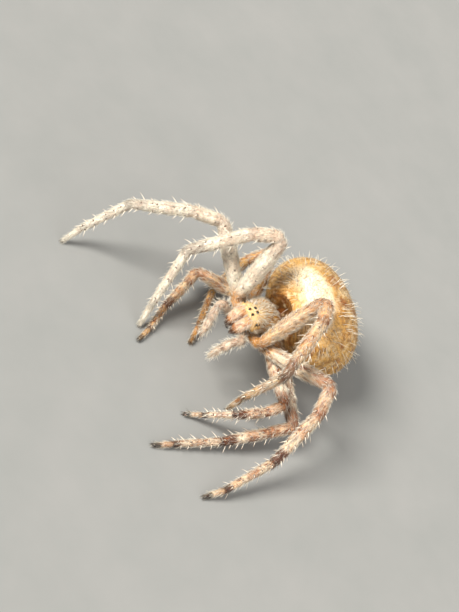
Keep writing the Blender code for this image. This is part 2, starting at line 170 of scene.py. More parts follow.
COAT = 0.07  # how deep the skin lies in the solids
ABDOMEN_COAT = 0.09
VOXEL = 0.07
SMOOTHING = 4
STEP = 0.12  # between the rings of a limb
BEND_RADIUS = 1.04  # of a limb's path, in radii of the limb
BEND_REACH = 0.42  # how much of a segment a bend may take
LIMB_SIDES = 30
ROOF_STEPS = 48  # of the carapace's rings
KEEL_STEPS = 16
STERNUM_SIDES = 32
ABDOMEN_SIDES = 110
ABDOMEN_RINGS = 80
JOINT_DEPTH = 0.17  # share of a limb's radius
JOINT_WIDTH = 0.15
JOINT_SHOULDERS = 0.35  # share of the depth that is given back on both sides
TOE_TURNS = np.radians((25, 50, 72, 86))  # rings of a limb's round tip
SKIN_TRIANGLES = 196000
SKIN_GAP = 0.01  # the least heights of skin, claws and hairs over the floor
CLAW_GAP = 0.006
HAIR_GAP = 0.004

# ---- small tools ----


def unit(vectors):
    return vectors / np.maximum(np.linalg.norm(vectors, axis=-1, keepdims=True), 1e-9)


def dot(a, b):
    return (a * b).sum(-1)


def smooth(low, high, value):
    """Rises smoothly from 0 at low to 1 at high."""
    share = np.clip((value - low) / (high - low), 0, 1)
    return share * share * (3 - 2 * share)


def window(value, start, full, fade, end):
    """Rises smoothly to 1 from start to full, and falls from fade to end."""
    return smooth(start, full, value) * smooth(end, fade, value)


def bell(value, width):
    return np.exp(-((value / width) ** 2))


def around(sides):
    """Angles of equal steps round a circle."""
    return 2 * np.pi * np.arange(sides) / sides


def circle(side, other, sides):
    """Ways to the points of a circle, from one side round by the other."""
    c, s = np.cos(around(sides))[:, None], np.sin(around(sides))[:, None]
    return side[..., None, :] * c + other[..., None, :] * s


def noise(points, scale, seed):
    """Smooth noise from -1 to 1, with features of about 1 / scale."""
    at = points * scale + 31.7 * seed
    cell = np.floor(at).astype(np.int64)
    part = at - cell
    part = part * part * (3 - 2 * part)
    total = 0.0
    for corner in range(8):
        step = np.array((corner & 1, corner >> 1 & 1, corner >> 2 & 1))
        x, y, z = (cell + step).T
        mixed = (x * 374761393 + y * 668265263 + z * 2147483647 + seed * 1274126177) & 0xFFFFFFFF
        mixed = (mixed ^ (mixed >> 13)) * 1274126177 & 0xFFFFFFFF
        value = ((mixed ^ (mixed >> 16)) & 0xFFFF) / 32767.5 - 1
        total = total + value * np.where(step, part, 1 - part).prod(1)
    return total


def body_point(ahead, left, up):
    """Points of the tipped body frame, in millimetres from the floor's origin."""
    ahead, left, up = np.broadcast_arrays(ahead, left, up)
    forward = -ahead * math.cos(NOSE_UP) + up * math.sin(NOSE_UP)
    height = EYE_HEIGHT + ahead * math.sin(NOSE_UP) + up * math.cos(NOSE_UP)
    return np.stack([left, forward, height], -1).astype(float)


def body_way(ahead, left, up):
    """The same for directions."""
    return body_point(ahead, left, up) - body_point(0, 0, 0)


def body_coordinates(points):
    """The other way: (ahead, left, up) of points."""
    left = points[:, 0]
    high = points[:, 2] - EYE_HEIGHT
    ahead = -points[:, 1] * math.cos(NOSE_UP) + high * math.sin(NOSE_UP)
    up = points[:, 1] * math.sin(NOSE_UP) + high * math.cos(NOSE_UP)
    return ahead, left, up


def direction(heading, lift):
    """A way by its heading (0 is -Y, 90 is +X) and its lift over the floor, in degrees."""
    heading, lift = math.radians(heading), math.radians(lift)
    flat = math.cos(lift)
    return np.array((math.sin(heading) * flat, -math.cos(heading) * flat, math.sin(lift)))


def mirrored(point, side):
    ahead, left, up = point
    return (ahead, left if side == "L" else -left, up)


def put(name, data):
    """A new object of this name in the scene."""
    made = bpy.data.objects.new(name, data)
    bpy.context.scene.collection.objects.link(made)
    return made


def given(thing, **settings):
    """The thing, with these settings."""
    for key, value in settings.items():
        setattr(thing, key, value)
    return thing


def modified(mesh, *modifiers):
    """A mesh after modifiers, each given as its kind and settings."""
    holder = put(mesh.name, mesh)
    for kind, settings in modifiers:
        given(holder.modifiers.new(kind, kind), **settings)
    made = bpy.data.meshes.new_from_object(holder.evaluated_get(bpy.context.evaluated_depsgraph_get()))
    bpy.data.objects.remove(holder)
    return made


def side_points(points, side):
    """Points of the body frame on one side, from those of the left side."""
    return [body_point(*mirrored(point, side)) for point in points]


def frame_offset():
    """Where the solids' floor origin lies in the frame, worked out from the front eyes."""
    place = EYES[0][1]
    left_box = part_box("eye_front_middle_L")
    right_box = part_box("eye_front_middle_R")
    across = (left_box[1].x + right_box[0].x) / 2 / MM
    front = left_box[0].y / MM - (body_point(*place)[1] - SOLID_EYE_RADIUS)
    return np.array((across, front, 0.0))


OFFSET = frame_offset()


# ---- limbs ----


class Limb:
    """A path with rounded corners: centres, tangents, radii, and lengths from the root. The bounds are the
    lengths at its root, joints and tip."""

    def __init__(self, corners, radii, swells, coat=COAT, joint_depth=JOINT_DEPTH, rounded=True):
        corners = np.array(corners, float)
        ways = unit(np.diff(corners, axis=0))
        lengths = np.linalg.norm(np.diff(corners, axis=0), axis=1)
        rows = []
        middles = []
        start = corners[0]
        for i, way in enumerate(ways):
            last = i == len(ways) - 1
            bend = 0.0 if last else math.acos(max(-1.0, min(1.0, float(way @ ways[i + 1]))))
            set_back = 0.0
            if not last:
                reach = BEND_REACH * min(lengths[i], lengths[i + 1])
                set_back = min(BEND_RADIUS * radii[i + 1] * math.tan(bend / 2), reach)
            end = corners[i + 1] - way * set_back
            count = max(2, round(np.linalg.norm(end - start) / STEP))
            for k in range(count + last):
                share = k / count
                radius = radii[i] + (radii[i + 1] - radii[i]) * share + swells[i] * math.sin(math.pi * share)
                rows.append((start + (end - start) * share, way, radius))
            if last:
                break
            round_off = set_back / math.tan(bend / 2)
            inward = unit(ways[i + 1] - way * (way @ ways[i + 1]))
            hub = end + inward * round_off
            turns = 2 * max(1, round(bend * round_off / STEP / 2))
            for k in range(turns):
                c, s = math.cos(bend * k / turns), math.sin(bend * k / turns)
                rows.append((hub + (way * s - inward * c) * round_off, way * c + inward * s, radii[i + 1]))
                if k == turns // 2:
                    middles.append(len(rows) - 1)
            start = corners[i + 1] + ways[i + 1] * set_back
        self.centres, self.tangents, full = (np.array(column) for column in zip(*rows))
        self.radii = full - coat
        steps = np.linalg.norm(np.diff(self.centres, axis=0), axis=1)
        self.along = np.concatenate([[0.0], np.cumsum(steps)])
        self.length = self.along[-1]
        self.bounds = [0.0, *(self.along[k] for k in middles), self.length]
        for joint in self.bounds[1:-1]:
            off = self.along - joint
            shoulders = JOINT_SHOULDERS * bell(off, 4 * JOINT_WIDTH)
            self.radii *= 1 - joint_depth * (bell(off, JOINT_WIDTH) - shoulders)
        self.carry(unit(ways[1] - ways[2]) if len(ways) > 2 else unit(np.cross(ways[0], (0.3, 0.2, 0.9))))
        self.rounded = rounded

    def carry(self, top):
        """Carries the top direction along the limb without twist."""
        tops = []
        for tangent in self.tangents:
            top = unit(top - tangent * (top @ tangent))
            tops.append(top)
        self.tops = np.array(tops)
        self.sides = np.cross(self.tangents, self.tops)

    def surface(self, along, angle):
        """A point on the limb, at a length from the root and an angle from its top, with the way out of it
        and the way along it."""
        place = [np.interp(along, self.along, column) for column in self.centres.T]
        k = min(int(np.searchsorted(self.along, along)), len(self.along) - 1)
        outward = self.tops[k] * math.cos(angle) + self.sides[k] * math.sin(angle)
        radius = np.interp(along, self.along, self.radii)
        return np.array(place) + outward * radius, outward, self.tangents[k]

    def rings(self, sides=LIMB_SIDES):
        outward = circle(self.tops, self.sides, sides)
        rings = self.centres[:, None] + outward * self.radii[:, None, None]
        if not self.rounded:
            return rings
        ends = []
        for turn in TOE_TURNS:
            way = self.tangents[-1] * math.sin(turn) + outward[-1] * math.cos(turn)
            ends.append(self.centres[-1] + way * self.radii[-1])
        return np.concatenate([rings, ends])


def carried_on(points, lengths, pose):
    """A limb's first corners and those that follow by its segments' lengths and directions."""
    for length, (heading, lift) in zip(lengths, pose):
        points.append(points[-1] + direction(heading, lift) * length)
    return points


def leg_corners(name):
    """The corners of a leg. Its tarsus is turned down or up so that the toe rests on the floor."""
    number, lengths, pose = int(name[1]), LEG_LENGTHS[int(name[1])], LEG_POSE[name]
    points = carried_on(side_points(COXAE[number], name[0]), lengths[:-1], pose[:-1])
    drop = (LEG_RADII[number][-1] - TOE_SINK - points[-1][2]) / lengths[-1]
    lift = math.degrees(math.asin(max(-0.999, min(0.999, drop))))
    return carried_on(points, lengths[-1:], [(pose[-1][0], lift)])


def palp_corners(side):
    return carried_on(side_points(PALP, side), PALP_LENGTHS, PALP_POSE[side])


# ---- the trunk ----


def spline(rows, count):
    """A smooth run through rows of numbers, with count steps between each two."""
    rows = np.array(rows, float)
    padded = np.concatenate([[2 * rows[0] - rows[1]], rows, [2 * rows[-1] - rows[-2]]])
    made = []
    for a, b, c, d in zip(padded[:-3], padded[1:-2], padded[2:-1], padded[3:]):
        square, cube = 2 * a - 5 * b + 4 * c - d, 3 * b - a - 3 * c + d
        for t in np.arange(count) / count:
            made.append(0.5 * (2 * b + (c - a) * t + square * t**2 + cube * t**3))
    return np.array(made + [rows[-1]])


def powered(value, power):
    """A power of the value's size, with the value's sign."""
    return np.sign(value) * np.abs(value) ** power


def carapace_rings():
    rings = []
    angles = np.pi * np.arange(ROOF_STEPS + 1) / ROOF_STEPS
    below = np.pi * np.arange(1, KEEL_STEPS) / KEEL_STEPS
    for ahead, half_width, crown, edge, squareness in spline(CARAPACE, 6):
        half_width, crown, keel = half_width - COAT, crown - COAT, CARAPACE_KEEL - COAT
        side = powered(np.cos(angles), CARAPACE_SIDE_POWER)
        rise = np.maximum(1 - np.abs(side) ** squareness, 0) ** CARAPACE_ROOF_POWER
        left = np.concatenate([side * half_width, -np.cos(below) * half_width])
        up = np.concatenate([edge + (crown - edge) * rise, edge - keel * np.sin(below)])
        rings.append(body_point(ahead, left, up))
    return np.array(rings)


def sternum_rings():
    rings = []
    angles = around(STERNUM_SIDES)
    high = (STERNUM_TOP - STERNUM_BOTTOM) / 2 - COAT / 2
    up = (STERNUM_TOP + STERNUM_BOTTOM) / 2 + powered(np.sin(angles), 0.6) * high
    for ahead, half_width in spline(STERNUM, 5):
        rings.append(body_point(ahead, powered(np.cos(angles), 0.7) * (half_width - COAT / 2), up))
    return np.array(rings)


ALONG = direction(180 - ABDOMEN_TURN, -ABDOMEN_PITCH)  # to the abdomen's tail end
ACROSS = direction(90 - ABDOMEN_TURN, 0)  # to its left
BACK = np.cross(ACROSS, ALONG)  # out of its back


def abdomen_ring(share, angles, grow):
    reach = ABDOMEN_WIDEST if share < ABDOMEN_WIDEST else 1 - ABDOMEN_WIDEST
    off = min(abs(share - ABDOMEN_WIDEST) / reach, 1.0)
    power = ABDOMEN_SHOULDER_POWER if share < ABDOMEN_WIDEST else 2.0
    girth = math.sqrt(1 - off**power)
    half_height = np.where(np.sin(angles) > 0, ABDOMEN_BACK_HALF_HEIGHT, ABDOMEN_BELLY_HALF_HEIGHT)
    wide = powered(np.cos(angles), 2 / ABDOMEN_CROSS_POWER) * (ABDOMEN_HALF_WIDTH * girth + grow)
    high = powered(np.sin(angles), 2 / ABDOMEN_CROSS_POWER) * (half_height * girth + grow)
    middle = ABDOMEN_CENTRE + ALONG * ((ABDOMEN_LENGTH + 2 * grow) * (share - 0.5))
    return middle + ACROSS * wide[:, None] + BACK * high[:, None]


def abdomen_rings():
    centre = body_point(*HOLLOW_CENTRE)
    rings = []
    for n in range(ABDOMEN_RINGS):
        share = 0.5 - 0.5 * math.cos(math.pi * (n + 0.5) / ABDOMEN_RINGS)
        points = abdomen_ring(share, around(ABDOMEN_SIDES), -ABDOMEN_COAT)
        gap = np.linalg.norm(points - centre, axis=1)
        short = HOLLOW_RADIUS + ABDOMEN_COAT - gap
        pressed = HOLLOW_SOFTNESS * np.log1p(np.exp(short / HOLLOW_SOFTNESS))
        rings.append(points + unit(points - centre) * pressed[:, None])
    return np.array(rings)


def abdomen_coordinates(points):
    """Share of the length, angle round the body (90 degrees on the back) and height out of the back."""
    away = points - ABDOMEN_CENTRE
    share = away @ ALONG / ABDOMEN_LENGTH + 0.5
    across, high = away @ ACROSS, away @ BACK
    half_height = np.where(high > 0, ABDOMEN_BACK_HALF_HEIGHT, ABDOMEN_BELLY_HALF_HEIGHT)
    return share, np.arctan2(high / half_height, across / ABDOMEN_HALF_WIDTH), across, high


def belly_point(share, across, out):
    """A point on the belly, by its share of the length and its place across."""
    ring = abdomen_ring(share, np.array([-math.acos(across / ABDOMEN_HALF_WIDTH)]), 0.0)
    return ring[0] - BACK * out


def spinneret_limbs():
    """Two pairs of short blunt cones, and the low mound that they stand on."""
    mound = [belly_point(SPINNERET_ALONG, 0, out) for out in (-0.5, 0.22)]
    limbs = [Limb(mound, (0.74, 0.5), (0,), 0)]
    for lengthwise, lean, radius in SPINNERETS:
        for side in (-1, 1):
            root = belly_point(SPINNERET_ALONG + lengthwise, 0.26 * side, -0.1)
            tip = belly_point(SPINNERET_ALONG + lengthwise + lean / 2, 0.17 * side, 0.5)
            limbs.append(Limb((root, tip), (radius, 0.55 * radius), (0.02,), 0))
    return limbs


# ---- the flesh, part by part ----

LEGS = {name: Limb(leg_corners(name), LEG_RADII[int(name[1])], LEG_SWELL) for name in LEG_POSE}
PALPS = {side: Limb(palp_corners(side), PALP_RADII, PALP_SWELL) for side in "LR"}
CHELICERAE = [
    Limb(side_points(CHELICERA, side), CHELICERA_RADII, CHELICERA_SWELL, 0.06, 0.0) for side in "LR"
]
ENDITES = [Limb(side_points(ENDITE, side), ENDITE_RADII, (0.02, 0.0), 0.0, 0.0) for side in "LR"]
PEDICEL_LIMB = Limb(side_points(PEDICEL, "L"), (PEDICEL_RADIUS,) * 2, (0.0,), COAT, 0.0, False)

CARAPACE_PART, STERNUM_PART, ABDOMEN_PART, PEDICEL_PART, MOUTH_PART, SPINNERET_PART = range(6)
FIRST_LIMB = 6
LIMBS = [*LEGS.values(), *PALPS.values()]
LIMB_NAMES = [*LEGS, *("palp_" + side for side in PALPS)]


def flesh():
    """Every part's rings, with the number of the part."""
    yield CARAPACE_PART, carapace_rings()
    yield STERNUM_PART, sternum_rings()
    yield ABDOMEN_PART, abdomen_rings()
    yield PEDICEL_PART, PEDICEL_LIMB.rings()
    for limb in (*CHELICERAE, *ENDITES):
        yield MOUTH_PART, limb.rings()
    for limb in spinneret_limbs():
        yield SPINNERET_PART, limb.rings()
    for n, limb in enumerate(LIMBS):
        yield FIRST_LIMB + n, limb.rings()


def loft_faces(rows, count, first):
    """Quads through rings of equal count, and a cap at each end."""
    faces = []
    for row in range(rows - 1):
        low = first + row * count
        for i in range(count):
            j = (i + 1) % count
            faces.append((low + i, low + j, low + count + j, low + count + i))
    faces.append(tuple(range(first + count - 1, first - 1, -1)))
    faces.append(tuple(range(first + (rows - 1) * count, first + rows * count)))
    return faces


def vectors(vertices, name):
    """An attribute of all vertices, as rows of three."""
    found = np.empty(len(vertices) * 3, np.float32)
    vertices.foreach_get(name, found)
    return found.reshape(-1, 3).astype(float)


def make_skin_mesh():
    """Joins the flesh into one closed surface. Returns its mesh in millimetres, and the guides: each ring
    point with its part and the number of its ring."""
    points, faces, parts, rows = [], [], [], []
    count = 0
    for part, rings in flesh():
        length, sides = rings.shape[:2]
        faces += loft_faces(length, sides, count)
        points.append(rings.reshape(-1, 3))
        parts += [part] * (length * sides)
        rows += list(np.repeat(np.arange(length), sides))
        count += length * sides
    points = np.concatenate(points)
    rough = bpy.data.meshes.new("flesh")
    rough.from_pydata(points.tolist(), [], faces)
    weld = ("REMESH", {"mode": "VOXEL", "voxel_size": VOXEL})
    relax = ("SMOOTH", {"iterations": SMOOTHING, "factor": 0.5})
    return modified(rough, weld, relax), (points, np.array(parts), np.array(rows))


# ---- reading the skin ----


class Survey:
    """Says of each point of the skin what part it is on, and where: on a limb, the length along it and the
    angle round it. The lay is the way in which its hairs lie, and the spread its place on an unwrap of its
    part."""

    def __init__(self, guides):
        self.points, self.parts, self.rows = guides
        self.tree = KDTree(len(self.points))
        for n, point in enumerate(self.points):
            self.tree.insert(point, n)
        self.tree.balance()

    def read(self, points, normals):
        nearest = np.array([self.tree.find(point)[1] for point in points.tolist()])
        self.part = self.parts[nearest]
        self.along = np.zeros(len(points))
        self.angle = np.zeros(len(points))
        self.lay = np.zeros((len(points), 3))
        self.spread = np.full((len(points), 2), 0.5)
        rows = self.rows[nearest]
        for n, limb in enumerate(LIMBS):
            on = self.part == FIRST_LIMB + n
            row = np.minimum(rows[on], len(limb.along) - 1)
            away = points[on] - limb.centres[row]
            self.along[on] = limb.along[row] + dot(away, limb.tangents[row])
            self.angle[on] = np.arctan2(dot(away, limb.sides[row]), dot(away, limb.tops[row]))
            self.lay[on] = limb.tangents[row]
            self.spread[on] = np.stack([self.angle[on] / (2 * np.pi) + 0.5, self.along[on] / limb.length], 1)
        self.read_trunk(points)
        self.lay = unit(self.lay - normals * dot(self.lay, normals)[:, None])
        self.spread = 0.01 + 0.98 * np.clip(self.spread, 0, 1)

    def read_trunk(self, points):
        ahead, left, up = body_coordinates(points)
        share, angle, _, _ = abdomen_coordinates(points)
        crown = body_way(0.9 * ahead - 0.35, 1.1 * left, 0)
        face = body_way(0.3, 0.25 * left, -1)
        regions = (
            ((CARAPACE_PART,), np.where((ahead > -0.15)[:, None], face, crown), left / 5, 0.05 - ahead / 6.4),
            ((STERNUM_PART, PEDICEL_PART), body_way(-1, 0, 0), left / 5, -ahead / 8),
            ((MOUTH_PART,), body_way(0.15, 0, -1), left / 3, -up / 3.4),
            ((ABDOMEN_PART, SPINNERET_PART), ALONG, angle / (2 * np.pi), share),
        )
        for parts, lay, across, along in regions:
            on = np.isin(self.part, parts)[:, None]
            self.lay = np.where(on, lay, self.lay)
            self.spread = np.where(on, np.stack([across + 0.5, along], 1), self.spread)


# ---- carving ----

FOVEA = -3.85
SIGILLA = ((0.24, 0.85), (0.37, 1.15), (0.5, 1.0))  # dimples of the back: share of its length, place across
FRONT_FOLDS = 52
CREASES = 34  # across the rest of the abdomen
HEAD_GROOVE = ((FOVEA + 0.2, 0.12), (-1.5, 1.5))  # its inner and outer end
CARAPACE_FURROWS = ((-3.3, 2.1), (-4.1, 2.15), (-4.9, 1.7))  # their outer ends: ahead and to the left


def groove(ahead, left, start, end):
    """Distance from a line that runs out from the middle on both sides, and a mask of its length."""
    run = np.clip((ahead - start[0]) / (end[0] - start[0]), -0.2, 1.2)
    line = start[1] + (end[1] - start[1]) * run
    return np.abs(left) - line, window(run, -0.1, 0.12, 0.85, 1.12)


def eye_gaps(ahead, left):
    """The distance of points from each eye of their side, as seen from above, its radius and its height."""
    for _, place, radius, _ in EYES:
        yield np.hypot(ahead - place[0], np.abs(left) - place[1]), radius, place[2]


def sigilla_gaps(share, across):
    """The distance of points of the abdomen from each dimple of their side."""
    for place, aside in SIGILLA:
        yield np.hypot((share - place) * ABDOMEN_LENGTH, np.abs(across) - aside)


def front_folds(points, angle):
    """Waves from -1 to 1 across the fine folds of the abdomen's front."""
    return np.sin(angle * FRONT_FOLDS + 3.2 * noise(points, 1.1, 4))


def carve_carapace(points):
    ahead, left, up = body_coordinates(points)
    lift = -0.16 * bell(ahead - FOVEA, 0.42) * bell(left, 0.13)
    off, mask = groove(ahead, left, *HEAD_GROOVE)
    lift -= 0.085 * bell(off, 0.16) * mask
    for end_ahead, end_left in CARAPACE_FURROWS:
        length = np.hypot(end_ahead - FOVEA, end_left)
        across = np.abs((ahead - FOVEA) * end_left - np.abs(left) * (end_ahead - FOVEA)) / length
        lift -= 0.04 * bell(across, 0.16) * window(np.abs(left), 0.5, 1.0, 1.7, 2.2)
    lift += 0.075 * bell(np.hypot(ahead + 0.24, 0.8 * left), 0.5)
    for gap, radius, height in eye_gaps(ahead, left):
        lift += 0.045 * bell(gap - 1.15 * radius, 0.06) * (np.abs(up - height) < 0.6)
        lift -= 0.03 * bell(gap, 0.9 * radius)
    return lift + 0.06 * bell(np.hypot(ahead + 0.4, np.abs(left) - 1.27), 0.3)


def carve_abdomen(points):
    share, angle, across, high = abdomen_coordinates(points)
    back = smooth(0.2, 0.8, np.sin(angle))
    lift = 0.03 * noise(points, 1.1, 3)
    for gap in sigilla_gaps(share, across):
        lift -= 0.09 * bell(gap, 0.2) * back
    front = smooth(0.36, 0.12, share) * smooth(0.5, -0.2, np.sin(angle))
    lift += 0.022 * front_folds(points, angle) * front
    creases = np.sin(share * 2 * np.pi * CREASES + 3.0 * noise(points, 0.5, 5))
    lift += 0.014 * creases * smooth(0.2, 0.4, share) * (1 - 0.6 * back)
    plates = bell((share - 0.22) * ABDOMEN_LENGTH, 0.7) * bell(np.abs(across) - 1.25, 0.6) * (high < 0)
    scape = bell((share - 0.29) * ABDOMEN_LENGTH, 0.35) * bell(across, 0.4) * (high < 0)
    return lift + 0.06 * plates + 0.16 * scape


def carve(points, survey):
    """How far each point of the skin moves out, in millimetres."""
    out = 0.012 * noise(points, 2.6, 1) + 0.008 * noise(points, 6.0, 2)
    for part, carver in ((CARAPACE_PART, carve_carapace), (ABDOMEN_PART, carve_abdomen)):
        on = survey.part == part
        out[on] += carver(points[on])
    return out


# ---- markings ----


def shade(red, green, blue):
    """A colour as the eye sees it, from 0 to 255, made linear."""
    value = np.array((red, green, blue)) / 255
    return np.where(value <= 0.04045, value / 12.92, ((value + 0.055) / 1.055) ** 2.4)


IVORY = shade(250, 243, 226)
CREAM = shade(240, 218, 176)
TAN = shade(216, 172, 108)
GOLD = shade(210, 156, 60)
BRONZE = shade(152, 98, 38)
AMBER = shade(190, 110, 36)
ORANGE_BROWN = shade(152, 82, 25)
RUST = shade(98, 44, 16)
UMBER = shade(52, 26, 13)
SOOT = shade(20, 12, 8)
ROSE = shade(208, 156, 110)
CHESTNUT = ORANGE_BROWN * 0.5 + RUST * 0.5

# Bands of a leg: (segment, share of its length, half width as a share, colour, weight). Segments are the
# coxa, femur, patella, tibia, metatarsus and tarsus.
LEG_BANDS = (
    (1, 0.42, 0.10, ROSE, 0.5),
    (1, 0.95, 0.17, ORANGE_BROWN, 0.75),
    (2, 0.55, 0.42, ROSE, 0.6),
    (2, 0.95, 0.16, ORANGE_BROWN, 0.7),
    (3, 0.36, 0.11, AMBER, 0.45),
    (3, 0.90, 0.17, RUST * 0.65 + UMBER * 0.35, 0.95),
    (4, 0.01, 0.035, SOOT, 0.7),
    (4, 0.45, 0.10, ORANGE_BROWN, 0.5),
    (4, 0.97, 0.09, UMBER, 0.9),
    (5, 0.30, 0.22, BRONZE, 0.45),
    (5, 0.95, 0.30, SOOT, 0.9),
)
# How pale each leg is, how strong its bands are, and the warm colour clouded over it. These hold painted
# light:
# the right front legs are painted near white with faint bands, as if brightly lit, and the first left and
# back right legs darker and more golden, as if in shade.
LEG_LOOKS_AND_PAINTED_LIGHT = {
    "L1": (0.32, 0.85, GOLD), "R1": (0.95, 0.5, ROSE), "L2": (0.6, 1.2, TAN), "R2": (1.0, 0.42, ROSE),
    "L3": (0.65, 1.25, ROSE), "R3": (0.35, 1.15, GOLD), "L4": (0.65, 1.25, ROSE), "R4": (0.0, 0.9, GOLD),
}


def mix(base, colour, weight):
    weight = np.clip(weight, 0, 1)[:, None]
    return base * (1 - weight) + colour * weight


def band(value, centre, half_width, soft):
    """One inside a band and nothing outside, with soft edges."""
    return smooth(half_width * (1 + soft), half_width * (1 - soft), np.abs(value - centre))


def layered(points, *layers):
    """The colours of points from layers of colour, each with its weights."""
    tone = np.zeros((len(points), 3))
    for colour, weight in layers:
        tone = mix(tone, colour, np.broadcast_to(weight, len(points)))
    return tone


# Each painter yields layers of colour from the lowest up, with their weights at the points.


def paint_leg(points, name, along, angle):
    bounds = LEGS[name].bounds
    # Painted light and shade: each leg's paleness, band strength and warm colour differ from side to side by
    # how it is lit.
    pale, strength, warm = LEG_LOOKS_AND_PAINTED_LIGHT[name]
    mottle = noise(points, 3.2, 11)
    yield TAN * (1 - pale) + IVORY * pale, 1
    cloud = smooth(-0.3, 0.6, noise(points, 1.1, 16))
    yield warm, (1.1 - 0.8 * pale) * (0.12 + 0.3 * cloud)
    yield AMBER, 0.4 * strength * (1 - 0.6 * pale) * smooth(-0.2, 0.7, noise(points, 1.3, 12))
    foot = smooth(bounds[4] - 0.5, bounds[5], along)
    yield warm * 0.7 + AMBER * 0.3, 0.75 * max(0.0, 1 - 1.4 * pale) * foot
    for segment, share, half_width, colour, weight in LEG_BANDS:
        start, end = bounds[segment : segment + 2]
        at = (along - start) / (end - start) + 0.035 * mottle
        weight = weight * strength * (0.88 + 0.12 * np.cos(angle))
        yield colour, weight * band(at, share, half_width, 0.22)
    shaft = window(along, bounds[1], bounds[1] + 0.6, bounds[5] - 0.6, bounds[5])
    streaks = smooth(0.3, 0.8, np.sin(5 * angle + 2.2 * noise(points, 0.8, 13))) * smooth(-0.3, 0.2, mottle)
    yield CHESTNUT, 0.6 * strength * shaft * streaks
    coxa = smooth(bounds[1] + 1.3, bounds[1] + 0.2, along)
    yield GOLD * 0.5 + AMBER * 0.5, 0.85 * coxa
    for joint in bounds[1:-1]:
        yield UMBER, 0.45 * strength * bell(along - joint, 0.09)
    flecks = smooth(0.38, 0.62, noise(points, 4.2, 14))
    yield CHESTNUT, 0.75 * strength * flecks


def paint_palp(points, limb, along):
    yield ROSE * 0.45 + IVORY * 0.35 + RUST * 0.2, 1
    yield RUST, 0.45 * smooth(0.1, 0.5, noise(points, 3.5, 15))
    for joint in limb.bounds[2:-1]:
        yield RUST, 0.5 * bell(along - joint + 0.15, 0.16)
    yield UMBER, 0.6 * smooth(limb.length - 0.45, limb.length + 0.1, along)


LEAF_LOBES = 7  # of the dark leaf on the abdomen's back
LEAF_SPOTS = (0.13, 0.18, 0.31, 0.45, 0.58, 0.71, 0.83)  # shares of the abdomen's length


def leaf_half_width(share):
    return 2.0 * np.sin(np.pi * np.clip(share * 0.9 + 0.12, 0, 1))


def hollow_depth(points):
    """How far points are out of the hollow in the front of the abdomen."""
    return np.linalg.norm(points - body_point(*HOLLOW_CENTRE), axis=1) - HOLLOW_RADIUS


def paint_abdomen(points):
    share, angle, across, high = abdomen_coordinates(points)
    back = smooth(-0.1, 0.5, np.sin(angle))
    yield TAN * 0.35 + GOLD * 0.65, 1
    yield AMBER, 0.25 * smooth(0.0, 0.7, noise(points, 0.5, 21))
    yield GOLD * 0.9, 0.6 * smooth(0.25, 0.6, share)
    # Painted highlight: the abdomen's front slope is painted near white, as if in strong light.
    pale = smooth(0.12, 0.05, share + 0.025 * noise(points, 1.2, 28)) * smooth(-0.9, -0.2, np.sin(angle))
    yield IVORY * 0.6 + CREAM * 0.4, 0.9 * pale
    aside = np.abs(across)
    lobes = np.cos(share * 2 * np.pi * LEAF_LOBES)
    edge = leaf_half_width(share) + 0.28 * lobes + 0.2 * noise(points, 1.4, 22)
    leaf = back * window(share, 0.12, 0.2, 0.85, 0.98)
    yield BRONZE, 0.35 * leaf * smooth(0.25, 0.45, share) * smooth(0.25, -0.25, aside - edge)
    rim = band(aside - edge, 0.0, 0.2, 0.9)
    yield ORANGE_BROWN, (0.45 + 0.4 * smooth(0.2, 0.45, share)) * leaf * rim
    heart = 0.34 * smooth(0.6, 0.2, share) + 0.1 * lobes
    yield CREAM, 0.55 * leaf * smooth(0.2, -0.1, aside - heart) * smooth(0.62, 0.5, share)
    for place in LEAF_SPOTS:
        gap = np.hypot((share - place) * ABDOMEN_LENGTH, (aside - leaf_half_width(place) + 0.25) * 0.8)
        yield ORANGE_BROWN, 0.8 * back * bell(gap + 0.2 * noise(points, 2.4, 23), 0.4)
    for gap in sigilla_gaps(share, across):
        yield RUST, 0.8 * back * bell(gap, 0.15)
    front = smooth(0.36, 0.14, share) * smooth(0.35, -0.25, np.sin(angle))
    yield TAN, 0.5 * front
    strokes = smooth(0.2, -0.8, front_folds(points, angle)) * smooth(-0.6, 0.3, noise(points, 1.7, 26))
    yield BRONZE * 0.7, 0.55 * front * strokes
    # Painted shade: the abdomen is painted darker brown close to the hollow that the carapace's back end sits
    # in.
    yield AMBER * 0.6 + BRONZE * 0.4, 0.4 * smooth(0.7, 0.1, hollow_depth(points))
    belly = smooth(-0.45, -0.8, np.sin(angle)) * window(share, 0.12, 0.2, 0.5, 0.62)
    yield UMBER, 0.8 * belly * smooth(1.5, 1.0, aside)
    yield CREAM, 0.85 * belly * band(aside, 1.75, 0.3, 0.6) * band(share, 0.4, 0.1, 0.4)
    ring = bell((share - SPINNERET_ALONG) * ABDOMEN_LENGTH, 1.1) * bell(across, 1.1) * (high < 0)
    yield UMBER, 0.75 * ring
    # The brown flecks and mottling below fade out towards the front, where the painted highlight lies.
    behind_highlight = smooth(0.03, 0.2, share)
    yield CREAM, 0.5 * smooth(0.1, 0.4, noise(points, 3.4, 27))
    yield BRONZE * 0.7, 0.65 * behind_highlight * smooth(0.1, 0.4, noise(points, 3.6, 24))
    yield ORANGE_BROWN, 0.5 * behind_highlight * smooth(0.3, 0.55, noise(points, 1.5, 25))


